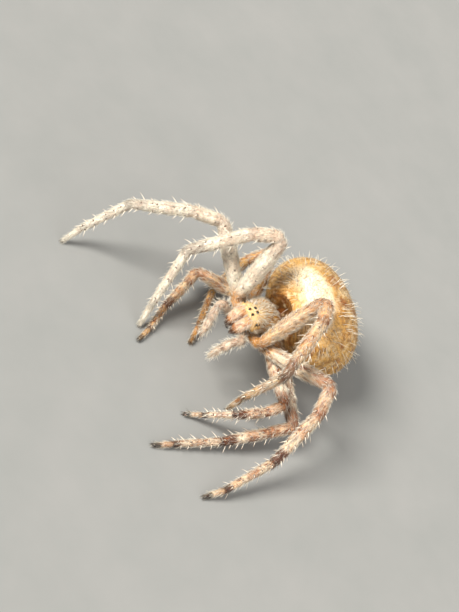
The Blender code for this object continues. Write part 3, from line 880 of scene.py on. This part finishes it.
def paint_carapace(points):
    ahead, left, up = body_coordinates(points)
    yield GOLD * 0.6 + TAN * 0.4, 1
    yield TAN, 0.5 * smooth(-2.6, -0.9, ahead) * smooth(1.5, 0.6, np.abs(left))
    yield AMBER, 0.5 * smooth(1.2, 2.2, np.abs(left)) + 0.35 * smooth(-4.2, -5.6, ahead)
    off, mask = groove(ahead, left, *HEAD_GROOVE)
    yield ORANGE_BROWN, 0.6 * bell(off, 0.2) * mask
    yield RUST, 0.8 * bell(ahead - FOVEA, 0.4) * bell(left, 0.12)
    yield CREAM * 0.8 + TAN * 0.2, 0.85 * bell(np.hypot(ahead + 0.5, left), 1.1)
    yield TAN * 0.5 + ROSE * 0.5, 0.8 * smooth(-0.1, 0.1, ahead) * smooth(-0.3, -0.5, up)
    for gap, radius, _ in eye_gaps(ahead, left):
        yield TAN, 0.5 * bell(gap - 1.5 * radius, 0.07)
        yield SOOT, smooth(1.18 * radius, 0.95 * radius, gap)
    yield UMBER, 0.35 * smooth(-1.5, -1.75, up) * smooth(0, -0.5, ahead)
    specks = smooth(0.2, 0.45, noise(points, 4.4, 31)) * smooth(-0.5, -1.3, ahead)
    yield BRONZE * 0.6, 0.7 * specks


def paint_mouth(points):
    _, left, up = body_coordinates(points)
    yield TAN * 0.35 + ROSE * 0.4 + AMBER * 0.15 + CREAM * 0.1, 1
    yield AMBER, 0.45 * smooth(-0.2, 0.5, noise(points, 1.3, 41))
    yield IVORY, 0.35 * window(-up, 0.7, 1.1, 1.6, 2.2)
    yield ORANGE_BROWN, 0.6 * smooth(0.15, 0.45, noise(points, 3.0, 42))
    yield ORANGE_BROWN, 0.8 * smooth(-1.7, -2.4, up)
    yield UMBER, 0.9 * smooth(-2.05, -2.45, up)
    yield RUST, 0.7 * bell(left, 0.12)


def thin_coat(points, survey):
    """The share of hairs missing at each point: round the eyes, on the nape and in the abdomen's hollow."""
    thin = np.zeros(len(points))
    on = survey.part == CARAPACE_PART
    ahead, left, _ = body_coordinates(points[on])
    thin[on] = 0.45 * smooth(-2.2, -3.4, ahead)
    for gap, radius, _ in eye_gaps(ahead, left):
        thin[on] = np.maximum(thin[on], smooth(2.3 * radius, 1.5 * radius, gap))
    on = survey.part == ABDOMEN_PART
    thin[on] = 0.97 * smooth(1.3, 0.6, hollow_depth(points[on]))
    return thin


def paint(points, survey):
    """The colour of each point of the skin."""
    tone = layered(points, (RUST, 1), (AMBER, 0.45 + 0.3 * noise(points, 2.0, 51)))
    painters = (CARAPACE_PART, paint_carapace), (ABDOMEN_PART, paint_abdomen), (MOUTH_PART, paint_mouth)
    for part, painter in painters:
        on = survey.part == part
        tone[on] = layered(points[on], *painter(points[on]))
    for n, name in enumerate(LIMB_NAMES):
        on = survey.part == FIRST_LIMB + n
        if name in LEGS:
            layers = paint_leg(points[on], name, survey.along[on], survey.angle[on])
        else:
            layers = paint_palp(points[on], LIMBS[n], survey.along[on])
        tone[on] = layered(points[on], *layers)
    return tone


# ---- meshes ----


def triangle_mesh(name, points, triangles, tones, material, spread=None):
    """A smooth piece from triangles in millimetres, with a colour and a place on the map at each point."""
    mesh = bpy.data.meshes.new(name)
    mesh.vertices.add(len(points))
    mesh.vertices.foreach_set("co", ((points + OFFSET) * MM).astype(np.float32).ravel())
    mesh.loops.add(triangles.size)
    mesh.loops.foreach_set("vertex_index", triangles.astype(np.int32).ravel())
    mesh.polygons.add(len(triangles))
    mesh.polygons.foreach_set("loop_start", np.arange(0, triangles.size, 3, dtype=np.int32))
    mesh.polygons.foreach_set("use_smooth", np.full(len(triangles), True))
    mesh.update(calc_edges=True)
    layer = mesh.attributes.new("tone", "FLOAT_COLOR", "POINT")
    layer.data.foreach_set("color", np.column_stack([tones, np.ones(len(tones))]).astype(np.float32).ravel())
    if spread is not None:
        layer = mesh.uv_layers.new(name="OFBake")
        layer.uv.foreach_set("vector", spread[triangles.ravel()].astype(np.float32).ravel())
    mesh.materials.append(material)
    made = put(name, mesh)
    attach(made, "root")
    return made


def ring_triangles(rows, sides):
    """Triangles between rings of equal count, one after another."""
    triangles = []
    for row in range(rows - 1):
        for i in range(sides):
            low, after = row * sides + i, row * sides + (i + 1) % sides
            triangles += [(low, after, after + sides), (low, after + sides, low + sides)]
    return triangles


def closed(rings, start, end):
    """Rings joined into a closed shape with a point at each end. Returns points, triangles and each point's
    share of the rings."""
    rows, sides = rings.shape[:2]
    points = np.concatenate([rings.reshape(-1, 3), [start], [end]])
    triangles = ring_triangles(rows, sides)
    last = (rows - 1) * sides
    for i in range(sides):
        triangles.append(((i + 1) % sides, i, rows * sides))
        triangles.append((last + i, last + (i + 1) % sides, rows * sides + 1))
    share = np.concatenate([np.repeat(np.arange(rows) / (rows - 1), sides), [0, 1]])
    return points, np.array(triangles), share


def spikes(roots, ways, bends, lengths, girths, sides, steps, taper=0.8):
    """Closed tapered spikes. Each starts along its way and bends as it goes. Returns the points, triangles,
    each point's spike, and its share of the spike's length."""
    count = len(roots)
    shares = np.arange(steps + 1) / steps
    reach = shares[:, None]
    centres = roots[:, None] + lengths[:, None, None] * (ways[:, None] * reach + bends[:, None] * reach**2)
    side = unit(np.cross(ways, RANDOM.normal(size=(count, 3))))
    rim = circle(side, np.cross(ways, side), sides)
    girth = girths[:, None] * (1 - shares[None, :-1]) ** taper
    body = centres[:, :-1, None] + girth[:, :, None, None] * rim[:, None]
    each = steps * sides + 1
    points = np.concatenate([body.reshape(count, -1, 3), centres[:, -1:]], 1).reshape(-1, 3)
    pattern = [(0, i + 1, i) for i in range(1, sides - 1)] + ring_triangles(steps, sides)
    last = (steps - 1) * sides
    pattern += [(last + i, last + (i + 1) % sides, each - 1) for i in range(sides)]
    triangles = (np.array(pattern)[None] + (np.arange(count) * each)[:, None, None]).reshape(-1, 3)
    along = np.concatenate([np.repeat(shares[:-1], sides), [1.0]])
    return points, triangles, np.repeat(np.arange(count), each), np.tile(along, count)


# ---- the coat ----

ROOT_DEPTH = 0.02
TUFT = 0.003  # across each tuft's patch of the map
BRIGHTNESS = (0.3, 0.6, 0.1)  # how red, green and blue count in it
PALEST = 0.92
STRAW = CREAM * 0.6 + GOLD * 0.4
GOLDEN = CREAM * 0.45 + GOLD * 0.55

# Kinds of hair: how many grow on a square millimetre, their lengths and radius, how many degrees they rise
# from the skin, how they curl back to it, how many degrees they wander from its lay, how many of them are
# pale where the skin is, the steps of a hair, and the pale colour.
LEG_DOWN = (84, (0.26, 0.48), 0.016, 20, 0.5, 14, 0.22, 2, IVORY)
LEG_HAIR = (24, (0.4, 0.72), 0.021, 34, 0.4, 16, 1.0, 3, IVORY)
PALP_DOWN = (90, (0.2, 0.36), 0.015, 26, 0.4, 18, 0.5, 2, IVORY)
PALP_HAIR = (20, (0.5, 0.85), 0.03, 54, 0.25, 22, 1.3, 3, IVORY)
CARAPACE_DOWN = (80, (0.22, 0.4), 0.015, 22, 0.45, 22, 0.5, 2, STRAW)
CARAPACE_HAIR = (38, (0.5, 0.85), 0.024, 34, 0.5, 14, 1.3, 3, IVORY)
STERNUM_DOWN = (60, (0.2, 0.4), 0.013, 25, 0.4, 20, 0.6, 2, IVORY)
MOUTH_DOWN = (60, (0.18, 0.32), 0.014, 24, 0.4, 20, 0.3, 2, IVORY)
MOUTH_HAIR = (15, (0.35, 0.65), 0.022, 38, 0.3, 20, 1.1, 3, IVORY)
ABDOMEN_DOWN = (52, (0.22, 0.38), 0.0135, 18, 0.5, 16, 0.5, 2, GOLDEN)
ABDOMEN_HAIR = (7, (0.4, 0.7), 0.016, 34, 0.4, 20, 0.9, 3, CREAM)
ABDOMEN_BRISTLES = (1.3, (1.0, 1.6), 0.034, 56, 0.4, 20, 1.3, 4, IVORY)


def patch(places, along):
    """Small patches of the map round the places of the tufts."""
    return places + np.stack([np.sin(2.1 * np.arange(len(places))), 2 * along - 1], 1) * TUFT / 2


def scatter(skin, parts, per_area):
    """Random places on the skin of some parts, as triangles and the shares of their corners."""
    chosen = np.flatnonzero(np.isin(skin.part[skin.triangles[:, 0]], parts))
    area = skin.areas[chosen]
    count = int(area.sum() * per_area)
    fallen = np.searchsorted(np.cumsum(area), RANDOM.random(count) * area.sum())
    picked = chosen[fallen.clip(0, len(chosen) - 1)]
    shares = RANDOM.dirichlet((1, 1, 1), count)
    kept = RANDOM.random(count) > skin.thin[skin.triangles[picked, 0]]
    return picked[kept], shares[kept]


def blended(values, skin, picked, shares):
    """The skin's values at such places."""
    return (values[skin.triangles[picked]] * shares[:, :, None]).sum(1)


def grown(skin, parts, per_area, lengths, radius, rise, curl, wander, pale, steps, light):
    """Hairs of one kind on some parts of the skin: points, triangles, colours and places on the map."""
    picked, shares = scatter(skin, parts, per_area)
    count = len(picked)
    roots = blended(skin.points, skin, picked, shares)
    normals = unit(blended(skin.normals, skin, picked, shares))
    lay = unit(blended(skin.lay, skin, picked, shares))
    turn = np.radians(RANDOM.normal(0, wander, count))[:, None]
    lay = unit(lay * np.cos(turn) + np.cross(normals, lay) * np.sin(turn))
    lift = np.radians(np.clip(RANDOM.normal(rise, 0.25 * rise, count), 4, 85))[:, None]
    ways = unit(lay * np.cos(lift) + normals * np.sin(lift))
    bends = -normals * np.sin(lift) * curl + lay * 0.1
    size = RANDOM.uniform(*lengths, count)
    girths = radius * RANDOM.uniform(0.8, 1.2, count)
    roots = roots - normals * ROOT_DEPTH
    points, triangles, owner, along = spikes(roots, ways, bends, size, girths, 3, steps)
    tone = blended(skin.tones, skin, picked, shares)
    chance = pale * (0.25 + 0.75 * smooth(0.03, 0.3, tone @ BRIGHTNESS))
    chosen = RANDOM.random(count) < chance
    paler = np.where(chosen, RANDOM.uniform(0.7, 1.0, count), RANDOM.uniform(0, 0.25, count))
    tone = mix(tone, light, paler) * RANDOM.uniform(0.85, 1.05, (count, 1))
    tones = np.minimum(tone[owner] * (0.78 + 0.27 * along)[:, None], PALEST)
    places = skin.spread[skin.triangles[picked, 0]][owner]
    return points, triangles, tones, np.clip(patch(places, along), 0, 1)


def make_coat(name, slot, material, skin, parts, *kinds):
    """One piece with hairs of these kinds on some parts of the skin."""
    points, triangles, tones, spread = zip(*(grown(skin, parts, *kind) for kind in kinds))
    first = np.cumsum([0, *(len(stand) for stand in points[:-1])])
    triangles = np.concatenate([stand + start for stand, start in zip(triangles, first)])
    points, tones, spread = (np.concatenate(stands) for stands in (points, tones, spread))
    points[:, 2] = np.maximum(points[:, 2], HAIR_GAP)
    triangle_mesh(name, points, triangles, tones, material, spread)


# ---- spines, eyes, fangs and claws ----

# Spines of a leg: (segment, shares of its length, angles from the top in degrees, length).
SPINES = (
    (1, (0.22, 0.4, 0.58, 0.76, 0.9), (8, 75, -75), 0.6),
    (2, (0.2, 0.85), (0, 95, -95), 0.72),
    (3, (0.1, 0.27, 0.45, 0.63, 0.8, 0.93), (38, -38, 128, -128), 0.8),
    (4, (0.07, 0.26, 0.46, 0.68, 0.88), (55, -55, 140, -140), 0.74),
)
SPINE_RADIUS = 0.048
SPINE_RISE = math.radians(58)
SOCKET_RADIUS = 0.12
SOCKET_HEIGHT = 0.085
CLAW_RADIUS = 0.045


def spine_places():
    """(root, way out, way along, length, place on the map) of every spine."""
    for n, (name, limb) in enumerate(LEGS.items()):
        size = 0.8 if name[1] == "3" else 1.0
        for segment, shares, angles, length in SPINES:
            start, end = limb.bounds[segment : segment + 2]
            for share in shares:
                for k, turn in enumerate(angles):
                    off = RANDOM.normal(0, 0.035) + 0.045 * (k % 2)
                    along = start + (end - start) * min(share + off, 0.97)
                    angle = math.radians(turn + RANDOM.normal(0, 9))
                    root, outward, tangent = limb.surface(along, angle)
                    spread = ((n + angle / (2 * math.pi) % 1) / 8, along / limb.length)
                    yield root, outward, tangent, length * size * RANDOM.uniform(0.7, 1.25), spread


def make_spines(material):
    roots, out, along, lengths, spread = (np.array(column) for column in zip(*spine_places()))
    spread = 0.01 + 0.98 * spread
    stray = RANDOM.normal(0, 0.09, roots.shape)
    ways = unit(out * math.sin(SPINE_RISE) + along * math.cos(SPINE_RISE) + stray)
    bends = unit(along) * 0.16 - out * 0.05
    girths = SPINE_RADIUS * RANDOM.uniform(0.85, 1.1, len(roots))
    points, triangles, owner, share = spikes(roots - out * 0.03, ways, bends, lengths, girths, 6, 6, 0.7)
    ends = (AMBER, 0.1 + 0.5 * smooth(0.6, 1.0, share)), (UMBER, 0.9 * smooth(0.14, 0.0, share))
    tones = layered(points, (IVORY, 1), *ends)
    points[:, 2] = np.maximum(points[:, 2], HAIR_GAP)
    triangle_mesh("spines", points, triangles, tones, material, patch(spread[owner], share))
    wide = np.full(len(roots), SOCKET_RADIUS)
    high = np.full(len(roots), SOCKET_HEIGHT)
    points, triangles, owner, share = spikes(roots - out * 0.035, out, out * 0, high, wide, 9, 3, 0.45)
    tones = layered(points, (RUST * 0.8, 1), (UMBER, 0.8 * (1 - share)))
    triangle_mesh("spine_sockets", points, triangles, tones, material, patch(spread[owner], share))


# A socket rim, a groove and a domed lens, as (radius, height) in eye radii. The dome's top follows.
EYE_PROFILE = (
    (1.34, -0.5), (1.34, -0.1), (1.27, 0.06), (1.16, 0.12), (1.06, 0.08), (1.0, 0.0), (0.99, 0.14),
    (0.95, 0.31), (0.87, 0.49), (0.75, 0.66), (0.59, 0.81), (0.4, 0.92), (0.2, 0.98),
)
EYE_RIM_ROWS = 5
EYE_SIDES = 32


def make_eyes(material):
    for name, place, radius, way in EYES:
        for side in "LR":
            centre = body_point(*mirrored(place, side))
            axis = unit(body_way(*mirrored(way, side))) * radius
            across = unit(np.cross(axis, (0.3, 0.5, 0.81))) * radius
            rim = circle(across, np.cross(axis, across) / radius, EYE_SIDES)
            rings = np.array([centre + axis * high + rim * wide for wide, high in EYE_PROFILE])
            points, triangles, share = closed(rings, centre + axis * EYE_PROFILE[0][1], centre + axis)
            on_rim = share * (len(EYE_PROFILE) - 1) < EYE_RIM_ROWS - 0.5
            tones = np.where(on_rim[:, None], TAN * 0.6 + BRONZE * 0.4, SOOT * 0.3)
            eye = triangle_mesh("lens_" + name + "_" + side, points, triangles, tones, material)
            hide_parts("eye_" + name + "_" + side)


def make_fangs(material):
    for side in "LR":
        rings = Limb(side_points(FANG, side), FANG_RADII, (0.0, 0.0), 0.0, 0.0).rings(20)
        points, triangles, share = closed(rings, rings[0].mean(0), rings[-1].mean(0))
        tones = layered(points, (RUST, 1), (SOOT, smooth(0.0, 0.35, share)))
        fang = triangle_mesh("fang_hook_" + side, points, triangles, tones, material)
        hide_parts("fang_" + side)


def make_claws(material):
    """Two hooked claws on each toe, and a small one between them."""
    hooks = []
    up = np.array((0.0, 0.0, 1.0))
    for limb in LEGS.values():
        tangent, radius = limb.tangents[-1], limb.radii[-1]
        side = unit(np.cross(tangent, up))
        flat = unit(np.cross(up, side))
        for place, length in ((-0.5, 0.34), (0.5, 0.34), (0.0, 0.2)):
            root = limb.centres[-1] + (tangent * 0.6 + side * place + up * 0.3) * radius
            way = unit(flat * 0.9 + up * 0.15 + side * place * 0.5)
            hooks.append((root, way, flat * 0.1 - up * 0.62, length, CLAW_RADIUS))
    roots, ways, bends, lengths, girths = (np.array(column) for column in zip(*hooks))
    points, triangles, _, share = spikes(roots, ways, bends, lengths, girths, 8, 8)
    points[:, 2] = np.maximum(points[:, 2], CLAW_GAP)
    tones = layered(points, (SOOT, 1), (RUST, 0.6 * smooth(0.4, 0.0, share)))
    triangle_mesh("claws", points, triangles, tones, material)


# ---- materials ----


class Finish:
    """A material whose nodes are written as calls. The points of a mesh carry their colour as its tone."""

    def __init__(self, name):
        self.material = bpy.data.materials.new(name)
        self.material.use_nodes = True
        self.tree = self.material.node_tree
        self.shader = self.tree.nodes["Principled BSDF"]
        self.place = self.node("ShaderNodeTexCoord").outputs["Object"]
        self.tone = self.node("ShaderNodeAttribute", attribute_name="tone").outputs["Color"]

    def node(self, kind, inputs=(), **settings):
        made = given(self.tree.nodes.new(kind), **settings)
        for key, value in dict(inputs).items():
            self.feed(made.inputs[key], value)
        return made

    def feed(self, socket, value):
        """Links or sets an input."""
        if isinstance(value, bpy.types.NodeSocket):
            self.tree.links.new(value, socket)
        else:
            socket.default_value = value

    def set(self, **values):
        for key, value in values.items():
            self.feed(self.shader.inputs[key.replace("_", " ")], value)

    def noise(self, size, detail=3.0):
        """Noise with features of about this size in millimetres."""
        inputs = {"Vector": self.place, "Scale": 1 / (size * MM), "Detail": detail, "Roughness": 0.6}
        return self.node("ShaderNodeTexNoise", inputs).outputs["Fac"]

    def cells(self, size):
        """Distance from dots that stand about this many millimetres apart, as a share of it."""
        inputs = {"Vector": self.place, "Scale": 1 / (size * MM)}
        return self.node("ShaderNodeTexVoronoi", inputs).outputs["Distance"]

    def ranged(self, value, to_low, to_high, low=0.3, high=0.7):
        """A value that runs from low to high, as noise does, made to run between two others."""
        inputs = {"Value": value, "From Min": low, "From Max": high, "To Min": to_low, "To Max": to_high}
        return self.node("ShaderNodeMapRange", inputs).outputs["Result"]

    def math(self, operation, a, b):
        return self.node("ShaderNodeMath", {0: a, 1: b}, operation=operation).outputs[0]

    def mixed(self, weight, a, b, blend="MIX"):
        """Two colours mixed. The node takes the weight and the colours in sockets 0, 6 and 7."""
        inputs = {0: weight, 6: a, 7: b}
        return self.node("ShaderNodeMix", inputs, data_type="RGBA", blend_type=blend).outputs[2]

    def toned(self, colour, value):
        """A colour made darker or lighter by a value."""
        grey = self.node("ShaderNodeCombineColor", {"Red": value, "Green": value, "Blue": value})
        return self.mixed(1.0, colour, grey.outputs["Color"], "MULTIPLY")

    def bump(self, height, strength, depth):
        inputs = {"Height": height, "Strength": strength, "Distance": depth * MM}
        return self.node("ShaderNodeBump", inputs).outputs["Normal"]


def skin_material():
    """Soft translucent cuticle: fine flecks, dots where hairs root, and a grained surface."""
    finish = Finish("cuticle")
    grain = finish.noise(0.09)
    fleck = finish.ranged(finish.noise(0.17, 2.0), 0.0, 0.6, 0.54, 0.66)
    dots = finish.ranged(finish.cells(0.22), 0.65, 0.0, 0.1, 0.22)
    colour = finish.mixed(fleck, finish.tone, (*RUST, 1.0))
    colour = finish.mixed(dots, colour, (*UMBER, 1.0))
    height = finish.math("ADD", grain, finish.math("MULTIPLY", finish.cells(0.13), 0.8))
    finish.set(
        Base_Color=finish.toned(colour, finish.ranged(grain, 0.84, 1.16)),
        Roughness=finish.ranged(finish.noise(0.4), 0.36, 0.56),
        Normal=finish.bump(height, 0.5, 0.03),
        Subsurface_Weight=0.08,
        Subsurface_Scale=0.35 * MM,
        Subsurface_Radius=(1.0, 0.7, 0.4),
        Coat_Weight=0.12,
        Coat_Roughness=0.3,
    )
    return finish.material


def hair_material(name, roughness):
    """Pale translucent bristle, streaked along and across."""
    finish = Finish(name)
    finish.set(
        Base_Color=finish.toned(finish.tone, finish.ranged(finish.noise(0.06, 2.0), 0.82, 1.15)),
        Roughness=finish.ranged(finish.noise(0.1), roughness - 0.08, roughness + 0.1),
        Subsurface_Weight=0.1,
        Subsurface_Scale=0.2 * MM,
        Subsurface_Radius=(1.0, 0.7, 0.45),
    )
    return finish.material


def hard_material(name, roughness, wear, polish):
    """Dark polished shell of eyes, fangs and claws, with faint scratches."""
    finish = Finish(name)
    finish.set(
        Base_Color=finish.toned(finish.tone, finish.ranged(finish.noise(0.05), 1 - wear, 1 + wear, 0.35)),
        Roughness=finish.ranged(finish.noise(0.08), roughness, roughness + 0.08),
        Normal=finish.bump(finish.noise(0.04), 0.08, 0.01),
        Coat_Weight=polish,
        Coat_Roughness=0.05,
    )
    return finish.material


# ---- the model ----


class Skin:
    """The carved skin as arrays, with what the survey says of each of its points."""

    def __init__(self):
        mesh, guides = make_skin_mesh()
        survey = Survey(guides)
        points, normals = vectors(mesh.vertices, "co"), vectors(mesh.vertices, "normal")
        survey.read(points, normals)
        points += normals * carve(points, survey)[:, None]
        points[:, 2] = np.maximum(points[:, 2], SKIN_GAP)
        mesh.vertices.foreach_set("co", points.astype(np.float32).ravel())
        thin = ("DECIMATE", {"ratio": SKIN_TRIANGLES / (2 * len(mesh.polygons))})
        made = modified(mesh, thin, ("TRIANGULATE", {"keep_custom_normals": False}))
        self.points, self.normals = vectors(made.vertices, "co"), vectors(made.vertices, "normal")
        corners = np.empty(len(made.loops), np.int32)
        made.loops.foreach_get("vertex_index", corners)
        self.triangles = corners.reshape(-1, 3)
        corners = self.points[self.triangles]
        cross = np.cross(corners[:, 1] - corners[:, 0], corners[:, 2] - corners[:, 0])
        self.areas = np.linalg.norm(cross, axis=-1) / 2
        survey.read(self.points, self.normals)
        self.part, self.lay, self.spread = survey.part, survey.lay, survey.spread
        self.tones = paint(self.points, survey)
        self.thin = thin_coat(self.points, survey)


def make_coats(skin, fine, coarse):
    """The coat of each part, and its long bristles."""
    for n, name in enumerate(LIMB_NAMES):
        kinds = (LEG_DOWN, LEG_HAIR) if name in LEGS else (PALP_DOWN, PALP_HAIR)
        make_coat("coat_" + name, "leg", fine, skin, (FIRST_LIMB + n,), *kinds)
    make_coat("coat_carapace", "carapace", fine, skin, (CARAPACE_PART,), CARAPACE_DOWN, CARAPACE_HAIR)
    make_coat("coat_sternum", "mouth", fine, skin, (STERNUM_PART, PEDICEL_PART), STERNUM_DOWN)
    make_coat("coat_mouth", "mouth", fine, skin, (MOUTH_PART,), MOUTH_DOWN, MOUTH_HAIR)
    parts = (ABDOMEN_PART, SPINNERET_PART)
    make_coat("coat_abdomen", "abdomen", fine, skin, parts, ABDOMEN_DOWN)
    make_coat("bristles_abdomen", "abdomen", coarse, skin, parts, ABDOMEN_HAIR, ABDOMEN_BRISTLES)


FLESH_NODES = [
    "carapace", "sternum", "abdomen", "pedicel", "spinnerets",
    *(kind + side for kind in ("chelicera_", "palp_") for side in "LR"),
    *(kind + leg for kind in ("coxa_", "femur_", "tibia_", "foot_") for leg in LEG_POSE),
]


def make_spider():
    skin = Skin()
    cuticle = skin_material()
    body = triangle_mesh("skin", skin.points, skin.triangles, skin.tones, cuticle)
    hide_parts(*FLESH_NODES)
    fine = hair_material("fine_hair", 0.5)
    coarse = hair_material("bristle", 0.4)
    make_coats(skin, fine, coarse)
    make_spines(coarse)
    make_eyes(hard_material("eye_lens", 0.05, 0.2, 0.15))
    hook = hard_material("fang_shell", 0.16, 0.35, 0.5)
    make_fangs(hook)
    make_claws(hook)


# ---- floor, light and camera ----

VIEW_AZIMUTH = 24
VIEW_ELEVATION = 44
VIEW_ROLL = math.radians(46)
VIEW_HEIGHT = 57.5  # of the picture, at the eyes
VIEW_DISTANCE = 150.0
AIM = (-2.09, 0.53)  # of the picture's middle from the front eyes, to its right and up
SENSOR = 36.0
FLOOR_HALF = 1.5  # metres


def view_axes():
    """To the picture's right, up it, and towards the camera."""
    back = Vector(direction(VIEW_AZIMUTH, VIEW_ELEVATION))
    level = Vector(direction(VIEW_AZIMUTH + 90, 0))
    upright = back.cross(level)
    right = level * math.cos(VIEW_ROLL) + upright * math.sin(VIEW_ROLL)
    return right, back.cross(right), back


def eyes_middle():
    boxes = [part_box("eye_front_middle_" + side) for side in "LR"]
    across = (boxes[0][1].x + boxes[1][0].x) / 2
    return Vector((across, OFFSET[1] * MM, EYE_HEIGHT * MM))


def place_at(thing, where, right, up, back):
    thing.matrix_world = Matrix.Translation(where) @ Matrix((right, up, back)).transposed().to_4x4()


def make_camera():
    right, up, back = view_axes()
    lens = SENSOR * VIEW_DISTANCE / VIEW_HEIGHT
    data = bpy.data.cameras.new("camera")
    given(data, sensor_fit="VERTICAL", sensor_height=SENSOR, lens=lens, clip_start=1 * MM)
    camera = put("camera", data)
    where = eyes_middle() + (right * AIM[0] + up * AIM[1] + back * VIEW_DISTANCE) * MM
    place_at(camera, where, right, up, back)
    bpy.context.scene.camera = camera


def make_lamp(name, way, softness, power, colour):
    """A broad far lamp. The way to it is given to the picture's right, up it and back to the camera."""
    out = sum((axis * share for axis, share in zip(view_axes(), way)), Vector()).normalized()
    data = given(bpy.data.lights.new(name, "SUN"), angle=math.radians(softness), energy=power, color=colour)
    lamp = put(name, data)
    side = out.cross(Vector((0, 0, 1))).normalized()
    place_at(lamp, eyes_middle() + out * VIEW_DISTANCE * MM, side, out.cross(side), out)


def make_studio():
    finish = Finish("pale_floor")
    cloud = finish.ranged(finish.noise(9.0), 0.0, 1.0)
    colour = finish.mixed(cloud, (0.25, 0.255, 0.25, 1), (0.275, 0.275, 0.27, 1))
    finish.set(Base_Color=colour, Roughness=0.9, Normal=finish.bump(finish.noise(0.5), 0.1, 0.05))
    mesh = bpy.data.meshes.new("floor")
    corners = [(x * FLOOR_HALF, y * FLOOR_HALF, 0) for x, y in ((-1, -1), (1, -1), (1, 1), (-1, 1))]
    mesh.from_pydata(corners, [], [(0, 1, 2, 3)])
    mesh.materials.append(finish.material)
    put("floor", mesh)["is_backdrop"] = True
    make_lamp("key_lamp", (-0.3, 0.55, 0.78), 24, 5.7, (1.0, 0.97, 0.9))
    make_lamp("fill_lamp", (0.7, -0.4, 0.6), 60, 1.2, (1.0, 0.98, 0.94))
    world = bpy.data.worlds.new("studio")
    world.use_nodes = True
    back = world.node_tree.nodes["Background"]
    back.inputs["Color"].default_value = (0.97, 0.95, 0.91, 1)
    back.inputs["Strength"].default_value = 0.55
    bpy.context.scene.world = world
    bpy.context.scene.view_settings.view_transform = "Standard"


make_spider()
make_studio()
make_camera()

[[list(corner) for corner in box] for box in (CAD_BOX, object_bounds())]
